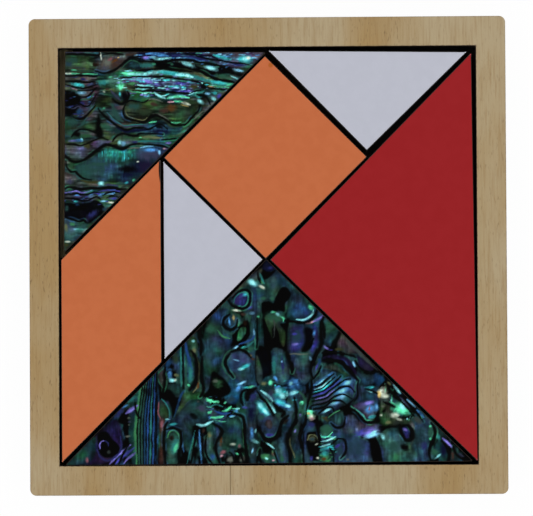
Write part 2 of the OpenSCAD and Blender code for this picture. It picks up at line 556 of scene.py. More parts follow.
def layForms(paint, bent, design, settings):
    # Small bright sheets and narrow layers, broken up by the layers across them
    grit = noise(settings, "grit", bent, settings["fineSize"])
    ragged = settings["ragged"] * grit
    faintest = settings["faintest"]
    layers = noise(settings, "shimmer", bent, settings["layerSize"], octaves=3)
    shimmer = faintest + (1 - faintest) * smoothStep(layers, *settings["shimmerFade"])
    for colour, x, y, halfLength, halfHeight, tilt in design["lenses"]:
        turn = math.radians(tilt)
        rows = near(bent, np.array([[x, y]]), settings["lensReach"] * max(halfLength, halfHeight))
        gap = bent[rows] - (x, y)
        u = (gap[:, 0] * math.cos(turn) + gap[:, 1] * math.sin(turn)) / halfLength
        v = (gap[:, 1] * math.cos(turn) - gap[:, 0] * math.sin(turn)) / halfHeight
        reach = np.hypot(u, v) + ragged[rows]
        blend(paint, rows, colour, (1 - smoothStep(reach, *settings["lensFade"])) * shimmer[rows])
    for colour, width, points in design["streaks"]:
        curve = smoothCurve(points)
        rows = near(bent, curve, width)
        distance, along = nearCurve(bent[rows], curve)
        reach = distance / tapered(width, along, settings["streakTaper"]) + ragged[rows]
        blend(paint, rows, colour, (1 - smoothStep(reach, *settings["streakFade"])) * shimmer[rows])
    # The brightest sheets sparkle in grains and in longer flakes
    bright = smoothStep(paint.max(1), *settings["sparkleFrom"])
    flakes = noise(settings, "flakes", bent, settings["layerSize"])
    paint *= (1 + settings["sparkle"] * bright * (grit + flakes))[:, None]


def drawFilms(paint, places, bent, design, settings):
    # Distance from the nearest dark film, which swells and thins out, and in its widths
    swell = 1 + settings["filmSwell"] * noise(settings, "swell", bent, settings["swellSize"])
    film = np.full(len(places), settings["filmReach"])
    inWidths = np.full(len(places), np.inf)
    for width, points in design["films"]:
        curve = smoothCurve(points)
        rows = near(bent, curve, settings["filmReach"] + width)
        distance, along = nearCurve(bent[rows], curve)
        gap = distance - tapered(width, along, settings["filmTaper"]) * swell[rows]
        film[rows] = np.minimum(film[rows], gap)
        inWidths[rows] = np.minimum(inWidths[rows], gap / width)
    # Beside the films the nacre glows in places, in mint or in sky blue
    tone = noise(settings, "tone", places, settings["toneSize"])
    glowColour = np.where(tone[:, None] > 0, nacreColour["mint"], nacreColour["azure"])
    glowing = smoothStep(noise(settings, "edgeGlow", places, settings["edgeSize"]), *settings["edgeFade"])
    ring = np.exp(-((film - settings["edgeAt"]) / settings["edgeWidth"]) ** 2)
    paint += (glowColour - paint) * (settings["edgeGlow"] * glowing * ring)[:, None]
    # Right at a film it is dim, and further out beside a wide one
    depth = settings["filmShade"] * (1 + noise(settings, "shade", bent, settings["shadeSize"]))
    shade = 1 - smoothStep(inWidths, 0, np.maximum(depth, settings["leastShade"]))
    paint *= (1 - (1 - settings["filmLevel"]) * shade)[:, None]
    return film


def paintShell(places, design):
    # Colour and distance from the nearest dark film at each place of a veneer
    settings = design["settings"]
    warp = [noise(settings, "warp", places, settings["warpSize"], octaves=3, step=step) for step in (0, 10)]
    bent = places + settings["warp"] * np.stack(warp, 1)
    paint = layBase(bent, settings)
    for lay in (laySheets, layLayers, layGlints, layForms):
        lay(paint, bent, design, settings)
    film = drawFilms(paint, places, bent, design, settings)
    return toLinear((paint - settings["ground"]) * settings["gain"]), film


# Each veneer is laid down in the order of its lists, with the colours of nacre:
# patches are broad sheets (colour, softness, outline)
# silk is a stretch of fine upright ripples (strength, size, outline)
# glints are bright layers scattered over a stretch (colours, size, noise level they start at, outline)
# lenses are small sheets (colour, x, y, half length, half height, tilt in degrees)
# streaks are narrow layers seen from the side (colour, width, points)
# films are the dark lines between layers (width, points)

# Triangle of nacre whose layers lie flat: long waving strata with bright lenses between them
mediumShell = {
    "settings": {
        **nacreFinish, "seed": 100, "base": ["teal", "deep", "ash", "moss"], "baseSize": (7, 1.6),
        "rimWidth": 1.4, "glow": 0.45, "layerSize": (2.6, 0.7), "fineSize": (0.35, 0.9),
        "lineSize": (5, 0.8), "darkLines": 0.55, "brightLines": 0.5,
        "spacing": 0.15,  # of the painted points
    },
    "patches": [
        ("moss", 0.3, [(-49, 48.2), (-44, 48.2), (-41, 48), (-41, 44.8), (-45, 44.5), (-49, 44.5)]),
        ("ash", 0.3, [(-41, 48.6), (-36, 48.9), (-31, 49), (-30.4, 48), (-33, 47.2), (-37, 44.5),
            (-40, 44.2), (-41, 46)]),
        ("deep", 0.2, [(-35, 45.4), (-33.3, 47.1), (-32.2, 47.6), (-30.4, 47.4), (-30, 45), (-33, 44.9)]),
        ("navy", 0.4, [(-30.5, 49.3), (-22, 49.3), (-14, 48.8), (-14, 47), (-20, 46.6), (-27, 47),
            (-30.5, 46.9)]),
        ("dusk", 0.5, [(-15, 49), (-1, 49), (-4, 45.4), (-9, 44.8), (-12, 46)]),
        ("soot", 0.3, [(-26.4, 46.6), (-22, 46.6), (-18, 46), (-13.5, 44.6), (-9.5, 45.6), (-7.5, 43.5),
            (-10, 43.6), (-12.6, 42.8), (-14.5, 43), (-17, 44.2), (-21, 44.9), (-25, 45), (-26.8, 45.4)]),
        ("jade", 0.3, [(-40.5, 42.6), (-36, 44.3), (-34.6, 44.6), (-34.3, 42), (-35.6, 40.4), (-39, 40.2),
            (-40.3, 41)]),
        ("stone", 0.2, [(-49, 43.2), (-44, 43.2), (-41, 43), (-41.4, 42.3), (-49, 42.4)]),
        ("ash", 0.3, [(-49, 42), (-41, 42), (-40, 40), (-41, 37), (-43, 34.8), (-46, 36), (-49, 36)]),
        ("ink", 0.5, [(-49, 39.7), (-46.2, 39.6), (-44.4, 38), (-44.6, 36.4), (-46, 34.6), (-49, 34)]),
        ("dusk", 0.5, [(-35, 42.8), (-27, 42.9), (-17, 41.9), (-15.4, 40.9), (-16.2, 39.9), (-22, 39.9),
            (-27, 40.4), (-33, 41.4)]),
        ("iris", 0.3, [(-26, 40), (-21, 40), (-17, 39.7), (-17.4, 39.1), (-22, 39.2), (-26, 39.4)]),
        ("jade", 0.3, [(-33.2, 39.3), (-29, 39), (-27.6, 38), (-29.6, 37), (-32.5, 37.4)]),
        ("moss", 0.2, [(-34, 36.3), (-32.8, 37.2), (-29.5, 36.9), (-27.8, 37.8), (-25.3, 37.1), (-20, 36.4),
            (-17.3, 36.3), (-16.4, 34.9), (-17.3, 34), (-18.5, 32.6), (-20, 31.6), (-22, 31.5),
            (-23.5, 32.1), (-26, 33.7), (-27.4, 33.6), (-30, 32.4), (-32, 32.6), (-34, 33.8),
            (-34.4, 35.2)]),
        ("slate", 0.3, [(-27, 32.4), (-25, 32.6), (-23, 31), (-20, 31), (-22, 29), (-27, 29.6),
            (-33, 30.3)]),
        ("ink", 0.6, [(-40.6, 34), (-39.8, 33.2), (-39.7, 31), (-39.2, 29.6), (-39.4, 28.4), (-40.8, 28.4),
            (-41.2, 30.4)]),
        ("dusk", 0.25, [(-49, 26.9), (-44, 26.4), (-41, 27.8), (-39, 28), (-37.2, 27.6), (-38.5, 26.7),
            (-43.2, 23.8), (-45, 23.1), (-46.8, 23.3), (-49, 24.8)]),
        ("slate", 0.2, [(-46, 21.4), (-43.6, 22.9), (-38, 25.9), (-34.2, 25.5), (-30.5, 26.3), (-26, 26.2),
            (-23.5, 25.6), (-26, 23), (-32.5, 17.4), (-36, 18), (-40.5, 18.2), (-43, 18.7), (-44.8, 19.8)]),
        ("lagoon", 1.2, [(-40.4, 25.2), (-36, 26.2), (-31.6, 25.6), (-33.6, 23.4), (-38.6, 23)]),
        ("aqua", 0.9, [(-38.2, 25.6), (-36, 26), (-33.8, 25.4), (-34.6, 24.5), (-37.4, 24.4)]),
        ("ash", 0.3, [(-49, 20.4), (-46.2, 19.6), (-44.5, 18.4), (-41, 17.6), (-41, 16.7), (-49, 17)]),
        ("dusk", 0.3, [(-49, 15.6), (-43, 15.4), (-40, 15.2), (-40.6, 13.6), (-44, 13.2), (-49, 13.8)]),
        ("soot", 0.3, [(-49, 12.6), (-46, 12.8), (-43, 13), (-41, 13.7), (-39.5, 12.6), (-39, 11), (-41, 9),
            (-43, 7.8), (-45, 8.8), (-49, 9.6)]),
        ("teal", 0.35, [(-49, 8.8), (-46.5, 8.4), (-44.6, 8.4), (-43, 7.4), (-47, 3.6), (-49, 4)]),
    ],
    "silk": [
        (0.3, (0.45, 5), [(-46, 21.4), (-43.6, 22.9), (-38, 25.9), (-34.2, 25.5), (-30.5, 26.3),
            (-26, 26.2), (-23.5, 25.6), (-26, 23), (-32.5, 17.4), (-36, 18), (-43, 18.7)]),
    ],
    "glints": [
        (("aqua", "foam", "lilac"), (1.8, 0.3), 0.3, [(-36, 44.4), (-26, 45), (-16, 43.4), (-9, 40.4),
            (-14, 37.6), (-27, 37.4), (-35.6, 39.4)]),
        (("azure", "sky"), (1.6, 0.3), 0.3, [(-30, 49), (-2, 49), (-7, 44), (-18, 45.6), (-29, 46.4)]),
        (("azure", "iris"), (2, 0.3), 0.45, [(-49, 45), (-41, 44.6), (-40.6, 40), (-43, 34), (-49, 33)]),
        (("lagoon", "aqua"), (0.4, 3), 0.15, [(-40.6, 24.6), (-38.4, 26.2), (-35, 25.8), (-32, 25.6),
            (-32.6, 23.2), (-37, 22), (-40, 22.6)]),
        (("violet", "azure"), (1.6, 0.25), 0.3, [(-49, 16), (-35, 16), (-38.6, 12), (-43, 12.6),
            (-49, 12.8)]),
    ],
    "lenses": [
        ("teal", -46.6, 47, 1.8, 0.7, 0), ("slate", -47.6, 46.2, 1.2, 0.6, 0),
        ("peat", -41, 46, 0.9, 0.5, -10), ("umber", -37, 46.4, 3.4, 1.6, 0),
        ("stone", -38.2, 46.4, 1.3, 1.2, 60), ("rose", -37.5, 47.3, 0.7, 0.3, 25),
        ("rust", -36.4, 46.9, 0.9, 0.35, 30), ("gold", -35.5, 47.7, 0.3, 0.15, 0),
        ("umber", -32.4, 48.4, 1.7, 0.35, 5), ("lagoon", -28.6, 45.8, 2.1, 0.6, 0),
        ("mint", -27, 46, 0.5, 0.25, 0), ("lilac", -28.9, 47.6, 0.9, 0.4, 0),
        ("jade", -22.6, 45.9, 0.5, 0.3, 0), ("foam", -19.1, 46, 1.9, 0.55, -22),
        ("foam", -13.4, 45, 1.6, 0.5, -18), ("sky", -6.8, 44.4, 1.4, 0.35, -12),
        ("aqua", -5.4, 47, 2.1, 1, 0), ("foam", -4.9, 47.1, 1, 0.6, 10), ("pearl", -4.4, 47.3, 0.5, 0.4, 0),
        ("jade", -10.4, 42.9, 2.2, 0.6, -8), ("aqua", -11, 41.4, 2.8, 0.7, -8),
        ("mint", -9.1, 40.9, 0.8, 0.4, 20), ("lagoon", -39.2, 41.6, 1.4, 0.7, 0),
        ("mint", -37.4, 43, 0.5, 0.2, 10), ("pearl", -39, 39.5, 0.35, 0.25, -30),
        ("umber", -38.1, 40.1, 0.6, 0.3, 0), ("mint", -34.9, 41, 1.1, 1, 0),
        ("mint", -35, 40.3, 0.4, 0.6, 0), ("fern", -32.2, 41.4, 1.2, 0.45, 0),
        ("aqua", -35.2, 38.9, 0.3, 0.5, 0), ("indigo", -44, 42.5, 0.6, 0.3, 0),
        ("aqua", -45.3, 41.2, 1.9, 0.5, -8), ("dusk", -42.4, 41.3, 0.8, 0.3, 20),
        ("sky", -44.3, 39.2, 1.2, 0.4, 0), ("iris", -44.4, 36.7, 0.8, 0.5, 0),
        ("blue", -44.8, 34.9, 0.9, 0.8, 60), ("grape", -44.7, 33.5, 0.6, 0.4, 0),
        ("ink", -47.4, 34.4, 1.1, 0.8, 0), ("teal", -46.6, 32.2, 1.4, 1, 0),
        ("mint", -39, 35.5, 0.3, 0.25, 0), ("soot", -34, 38.4, 0.9, 1.4, 0),
        ("lilac", -24.5, 39.5, 0.5, 0.2, 0), ("violet", -20, 39.5, 0.9, 0.25, 0),
        ("violet", -20.6, 41.3, 1.6, 0.3, 0), ("olive", -17.5, 40.6, 1.2, 0.5, 0),
        ("soot", -15.3, 40.4, 0.9, 0.5, -20), ("azure", -18.4, 41.7, 0.7, 0.3, -10),
        ("sky", -21.7, 40.3, 0.8, 0.22, -8), ("foam", -25.8, 40.4, 0.4, 0.2, 0),
        ("gold", -13.1, 40.3, 1.2, 0.4, -15), ("sky", -14.2, 38.8, 0.8, 0.35, 0),
        ("aqua", -12.4, 38.9, 0.5, 0.4, 0), ("violet", -11.4, 38.3, 0.7, 0.5, 40),
        ("foam", -12.7, 37.6, 0.8, 0.45, -30), ("foam", -16, 37, 1, 0.5, -40),
        ("soot", -15.1, 38, 1, 0.5, 20), ("ink", -15.9, 35.4, 0.6, 0.8, 0),
        ("slate", -16.2, 34.9, 1.1, 0.5, 40), ("teal", -31.7, 36, 1.8, 0.8, 0),
        ("umber", -27, 36.4, 1.2, 0.5, -10), ("rust", -22.9, 35.4, 1.3, 0.9, 10),
        ("umber", -24.6, 34.9, 1.2, 0.6, 0), ("moss", -29, 34.4, 2, 0.8, 0),
        ("jade", -38.4, 30.9, 1.5, 0.9, -20), ("deep", -35.5, 30.2, 2, 0.9, 0),
        ("jade", -36.8, 28.7, 0.8, 0.5, 40), ("ink", -45.7, 29.2, 1, 0.6, 0),
        ("leaf", -43.2, 28.9, 1.5, 0.5, 0), ("jade", -47, 29.7, 0.9, 0.6, 0),
        ("foam", -44.4, 28, 0.35, 0.5, 0), ("azure", -45.2, 27.8, 1.2, 0.35, 0),
        ("lilac", -46.6, 27.7, 1, 0.3, 0), ("foam", -35.3, 27.3, 0.6, 0.6, 0),
        ("sky", -34.4, 27.1, 0.6, 0.6, 0), ("iris", -31.7, 27.4, 0.7, 0.35, 0),
        ("navy", -25.5, 29.8, 2.4, 0.6, 0), ("soot", -25.5, 31, 1, 0.5, 0),
        ("lilac", -23.6, 27.2, 0.8, 0.3, 0), ("olive", -43, 26.5, 0.9, 0.6, 0),
        ("navy", -32, 20.6, 4.5, 2, 25), ("soot", -33.4, 21, 2.2, 1, 0),
        ("grape", -29.2, 21.6, 1.8, 1.4, 30), ("teal", -41.5, 21.4, 5, 2.6, 25),
        ("dusk", -28.4, 24.4, 3, 1.5, 0), ("azure", -28, 25.5, 1.9, 0.6, 0),
        ("sky", -25.8, 24.9, 0.3, 0.6, 0), ("blush", -24.6, 25.8, 0.5, 0.2, -15),
        ("pearl", -31, 22.6, 0.3, 0.2, 0), ("leaf", -47, 22, 0.8, 1, 0), ("dusk", -47.3, 18, 0.9, 0.7, 0),
        ("foam", -39.8, 17.6, 0.8, 0.6, 0), ("teal", -35, 17.4, 1.3, 0.4, 0),
        ("aqua", -33.6, 17.6, 0.5, 0.3, 20), ("mint", -32, 18.2, 0.4, 0.3, 40),
        ("violet", -36.8, 13.9, 1, 0.3, 0), ("pearl", -37.4, 12.9, 0.9, 0.3, 0),
        ("sky", -39.2, 13.3, 0.7, 0.25, 0), ("iris", -42, 10, 1.5, 0.8, 35),
        ("grape", -43.2, 8.8, 0.6, 0.7, 0), ("aqua", -45.9, 13.3, 0.6, 0.25, 0),
        ("blue", -45.5, 12.5, 0.5, 0.4, 0), ("teal", -48, 11.6, 0.6, 0.8, 0),
        ("slate", -39, 11.3, 0.6, 0.5, 40), ("fern", -46.6, 7.8, 0.7, 0.5, 0),
        ("khaki", -48.2, 7, 0.4, 1, 0), ("pearl", -47.9, 3.6, 0.8, 0.22, 0),
        ("olive", -48.2, 2.8, 0.6, 0.3, 0),
    ],
    "streaks": [
        ("dusk", 0.5, [(-49, 49.05), (-41.4, 49)]),
        ("pearl", 0.35, [(-39.9, 49.1), (-39.6, 47.1)]),
        ("jade", 0.3, [(-34.8, 45), (-33.3, 46.5), (-32.2, 46.9), (-30.7, 46.5), (-30.2, 45.9)]),
        ("azure", 0.7, [(-28.8, 48.5), (-26.6, 48.6), (-23.6, 47.9)]),
        ("foam", 0.6, [(-27.6, 47.7), (-26, 47.3), (-22.9, 47.5)]),
        ("iris", 0.8, [(-22.6, 48), (-20, 48), (-17.5, 47.6), (-14, 46.6)]),
        ("azure", 0.4, [(-19.4, 47.4), (-17.6, 47.2), (-15.8, 46.7)]),
        ("mint", 0.2, [(-17.3, 48.6), (-15.4, 48.6)]),
        ("ash", 0.3, [(-14.5, 48.6), (-8, 48.7)]),
        ("aqua", 0.7, [(-12.7, 48.2), (-11, 47.6), (-8.6, 47)]),
        ("iris", 0.6, [(-9, 46.3), (-7, 45.7), (-5, 45.5)]),
        ("jade", 0.2, [(-47.5, 44.5), (-45, 44.55), (-41, 44.4)]),
        ("mint", 0.35, [(-46.8, 44.8), (-45.4, 44.7)]),
        ("mint", 0.35, [(-48.6, 43.85), (-44.8, 43.9)]),
        ("pearl", 0.3, [(-48.4, 43.85), (-46.8, 43.9)]),
        ("mint", 0.35, [(-44.2, 43.8), (-40.6, 43.6)]),
        ("mint", 0.9, [(-34.6, 43.9), (-32.6, 43.75), (-28, 43.9)]),
        ("foam", 0.8, [(-33, 43.7), (-30, 43.6), (-26.9, 44.05), (-24, 44), (-21.8, 43.6), (-19.5, 43.4)]),
        ("lagoon", 0.9, [(-21, 43.7), (-18, 43.1), (-15.2, 42.2), (-13.5, 41.8)]),
        ("aqua", 0.9, [(-26, 44.1), (-22.6, 43.8), (-20.4, 43.5)]),
        ("foam", 0.9, [(-21.6, 43.5), (-19.8, 43.5), (-17.8, 42.8)]),
        ("sky", 0.5, [(-34.4, 42.5), (-29.6, 42.4), (-27.4, 42.1), (-25.4, 42.2)]),
        ("lilac", 0.6, [(-29.5, 42.2), (-28.2, 41.8), (-27.4, 41.4)]),
        ("foam", 0.35, [(-30.9, 41.1), (-27.2, 40.6)]),
        ("foam", 0.3, [(-31.4, 40.2), (-29.4, 40.1), (-27, 40.3)]),
        ("mint", 0.3, [(-33, 39.7), (-31, 39.4), (-27, 39.1)]),
        ("foam", 0.6, [(-26.9, 39.3), (-25.8, 38.5), (-24.3, 37.8)]),
        ("mint", 0.7, [(-23.8, 37.8), (-22.8, 38.1), (-21, 38.3), (-18.6, 37.9)]),
        ("foam", 0.4, [(-23.3, 38), (-22.3, 38)]),
        ("blush", 0.4, [(-23.7, 36.9), (-22.2, 36.95)]),
        ("mint", 0.5, [(-22.3, 37.2), (-20.3, 37)]),
        ("pearl", 0.6, [(-20.4, 36.8), (-18.4, 36.2)]),
        ("gold", 0.25, [(-20.6, 36.3), (-18.7, 35.8)]),
        ("stone", 0.3, [(-28.8, 37.2), (-27.6, 37.7), (-26, 37.4), (-25, 37)]),
        ("lagoon", 0.5, [(-18.4, 38.5), (-15, 39.4)]),
        ("mint", 0.3, [(-13.9, 41), (-9, 40.2)]),
        ("foam", 0.35, [(-8.6, 43.1), (-6.7, 42.2)]),
        ("stone", 0.5, [(-14.2, 35.6), (-12.7, 36.8)]),
        ("aqua", 0.3, [(-22.8, 42.4), (-21.4, 42.4)]),
        ("dusk", 0.6, [(-37.3, 39.8), (-36.4, 38.6), (-35.1, 37.4)]),
        ("jade", 0.4, [(-44.6, 37.6), (-42.6, 37.9), (-41.2, 39.3)]),
        ("dusk", 0.3, [(-48.4, 35.9), (-46.5, 35.5), (-45.2, 36.1), (-44.4, 35.4), (-43.4, 35),
            (-42.2, 35.6), (-41.3, 36.8)]),
        ("olive", 0.5, [(-41, 36), (-43.6, 32.6)]),
        ("teal", 0.6, [(-43.4, 33), (-44.2, 31.6), (-45.4, 31)]),
        ("blush", 0.25, [(-46.7, 40.4), (-45.4, 39.9)]),
        ("khaki", 0.2, [(-33.9, 35.6), (-33.7, 34.2), (-32.8, 33.3), (-29.7, 32.6), (-28.6, 33.2)]),
        ("stone", 0.25, [(-27.5, 34), (-26.2, 34.1), (-24.8, 33.5), (-23.6, 32.6)]),
        ("mint", 0.4, [(-22.9, 32.1), (-21.8, 32), (-20.6, 32.1)]),
        ("dusk", 0.5, [(-38.2, 34.3), (-37, 33), (-34.1, 31.1), (-32.6, 31.2), (-30.6, 31.5),
            (-28.7, 31.5)]),
        ("lagoon", 0.25, [(-38.3, 34.6), (-37.2, 33.4), (-35.7, 32.2), (-34.1, 31.3), (-31, 31.6),
            (-28.4, 31.6)]),
        ("mint", 0.35, [(-28.3, 31.9), (-26.4, 32.3)]),
        ("teal", 1.2, [(-37, 36.3), (-36.6, 35), (-35.8, 33.4), (-34.6, 32.4)]),
        ("navy", 0.7, [(-36.6, 31.6), (-34, 30), (-31.4, 30.2), (-28.4, 30.4)]),
        ("stone", 0.4, [(-17.6, 32.6), (-15.4, 34.6)]),
        ("leaf", 0.8, [(-20.4, 30.2), (-17.4, 32.6)]),
        ("khaki", 0.5, [(-30.6, 28.4), (-28.6, 28.6), (-27, 28.4), (-25.2, 28.3)]),
        ("mint", 0.3, [(-30.6, 28.4), (-30, 28.4)]),
        ("leaf", 0.5, [(-34.4, 28.4), (-33, 28.5), (-32, 28.2)]),
        ("lagoon", 0.4, [(-31, 27.5), (-28.5, 27.6), (-24.4, 27.4)]),
        ("sky", 0.4, [(-30.4, 26), (-29, 26.3), (-27.2, 26.4)]),
        ("stone", 0.35, [(-33.4, 25.8), (-32, 26), (-30.5, 26)]),
        ("olive", 0.5, [(-44.6, 18.3), (-43, 17.9), (-41.5, 17.8), (-40.6, 17.9)]),
        ("dusk", 0.5, [(-38.8, 17.3), (-35.8, 17)]),
        ("lilac", 0.3, [(-48.8, 15.2), (-45.9, 15.7), (-44.6, 15.3), (-43.5, 15.4), (-42, 15.9)]),
        ("violet", 0.45, [(-40.4, 15.5), (-38.5, 15.9), (-36.6, 15.9), (-35.2, 15.6)]),
        ("azure", 0.5, [(-40.4, 14.6), (-39.4, 14.9), (-38.3, 15)]),
        ("sky", 0.3, [(-38.6, 14.8), (-37.6, 15), (-36.8, 15)]),
    ],
    "films": [
        (0.33, [(-49, 48.5), (-44, 48.5), (-40.4, 48.3), (-40, 49)]),
        (0.29, [(-39.3, 48.4), (-37, 48.7), (-34.4, 48.4)]),
        (0.29, [(-41, 44.4), (-38.9, 43.9), (-36.7, 44.5), (-35.2, 45.5), (-33.3, 47.2), (-32.2, 47.7),
            (-30.4, 47.5)]),
        (0.33, [(-30.6, 46.8), (-25.4, 46.6), (-21.4, 47), (-18, 46.8), (-15, 46.2), (-11.5, 45.6),
            (-9.6, 44.4)]),
        (0.29, [(-31.4, 44.6), (-28.7, 44.6), (-25.9, 44.9), (-18, 44.3)]),
        (0.41, [(-17.5, 44.6), (-15.5, 44), (-12.5, 42.5), (-9, 41.8), (-7.6, 41.4)]),
        (0.41, [(-12, 45.9), (-10.5, 45.1), (-9.4, 44.2), (-8, 43.8)]),
        (0.49, [(-7.4, 43.6), (-6.2, 43.3), (-5.2, 43.4)]),
        (0.25, [(-20.4, 48.4), (-17.5, 48.2), (-14.6, 47.4), (-11, 46.8), (-8.4, 46.2), (-6, 46),
            (-4.4, 45.6)]),
        (0.2, [(-16, 48), (-13.6, 48.1), (-11.4, 47)]),
        (0.22, [(-34.4, 42.95), (-27.8, 43.1), (-21, 42.5), (-17.6, 42)]),
        (0.25, [(-49, 43.3), (-44, 43.35), (-40.7, 43)]),
        (0.25, [(-49, 42.1), (-43.9, 41.8), (-41.1, 41.9)]),
        (0.25, [(-48.4, 41.3), (-45.2, 40.5), (-43.3, 40.4), (-40.8, 41.2)]),
        (0.22, [(-45.4, 39.75), (-42, 39.9), (-40.7, 40.6)]),
        (0.25, [(-45.7, 38.5), (-44, 38.2), (-42.8, 38.6), (-40.7, 40.4)]),
        (0.25, [(-46.2, 36.3), (-45, 36.7), (-43.8, 36.1), (-42.5, 36.3), (-40.8, 38.8)]),
        (0.29, [(-46.4, 33.4), (-44.8, 33), (-43.4, 33.6), (-41.1, 36.1)]),
        (0.25, [(-31.6, 40.6), (-29, 40.5), (-27.4, 40.2)]),
        (0.25, [(-32.2, 39.7), (-30, 39.6), (-27, 39.7), (-21, 39.1), (-19, 38.9), (-17.3, 39.4),
            (-15.8, 39.7)]),
        (0.29, [(-18, 41.9), (-16.4, 41.6), (-14.3, 40.4), (-10, 39.7)]),
        (0.33, [(-16.8, 38.6), (-15, 38.2), (-14, 37.2), (-13.6, 36.2)]),
        (0.37, [(-36.9, 37.7), (-36, 36.9), (-34.8, 36.6), (-33.6, 37.3), (-33, 38.6), (-33.4, 39.6)]),
        (0.29, [(-33.9, 36.4), (-34.45, 35.2), (-34.2, 33.8), (-33, 32.9), (-29.6, 32.1), (-28.5, 32.7),
            (-27.4, 33.6), (-26, 33.7), (-23.4, 32), (-22, 31.4), (-20.4, 31.4), (-19.2, 31.7), (-17.2, 34),
            (-16.4, 34.8), (-16, 36)]),
        (0.2, [(-33.8, 36.6), (-32.6, 37.3), (-29.4, 36.9), (-28.4, 37.5)]),
        (0.29, [(-40.4, 35.4), (-39.6, 34.4), (-37, 32.2), (-34.1, 30.4), (-31.5, 30.8), (-29.6, 30.8),
            (-28.1, 30.5), (-25.6, 31.6), (-23.8, 30.4)]),
        (0.33, [(-37, 27.6), (-36.6, 28.3), (-35.7, 29), (-34.3, 29.4), (-31.3, 28.9), (-30.2, 29.4),
            (-25, 29.2)]),
        (0.2, [(-25.2, 27.9), (-21.8, 28.2)]),
        (0.29, [(-46.8, 28.7), (-45.6, 30), (-44.3, 30.5), (-42.5, 30.2), (-41, 29.6)]),
        (0.25, [(-49, 27), (-46.3, 26.9), (-44.4, 26.6), (-41.1, 28), (-39.6, 28.4), (-38, 28)]),
        (0.41, [(-49, 24.9), (-47.7, 23.6), (-46.3, 22.8), (-44.8, 22.8), (-43.3, 23.5), (-40, 26),
            (-38.5, 26.8), (-37, 26.5), (-34.7, 25.8), (-32.5, 26.8), (-30.5, 27)]),
        (0.25, [(-31, 27), (-25.5, 26.5), (-23.6, 25.9)]),
        (0.29, [(-48.2, 22.9), (-48, 21.5), (-46.9, 20.4), (-45.9, 20.3), (-45, 19.4), (-43.8, 18.7),
            (-42, 18.4)]),
        (0.37, [(-48.6, 16.1), (-47.2, 16.7), (-44.3, 16.1), (-42.6, 16.4), (-40.7, 16.3), (-37, 16.5),
            (-35.6, 16.1), (-33.8, 16.1)]),
        (0.25, [(-48.6, 14.8), (-45.7, 15.1), (-44.5, 14.8), (-43, 14.9), (-41.5, 15.4), (-40.2, 15.2)]),
        (0.25, [(-48.6, 13.9), (-46.5, 14), (-43.5, 13.4), (-41, 14.3), (-40, 13.9)]),
        (0.25, [(-39.4, 14.6), (-38, 15.3), (-36.4, 15.5), (-35, 15.1)]),
        (0.2, [(-38.4, 14.1), (-37.2, 14.5), (-36, 14.4), (-35.4, 14)]),
        (0.25, [(-48.6, 9.5), (-45.3, 8.5), (-44, 8.7), (-43.2, 7.9)]),
    ],
}

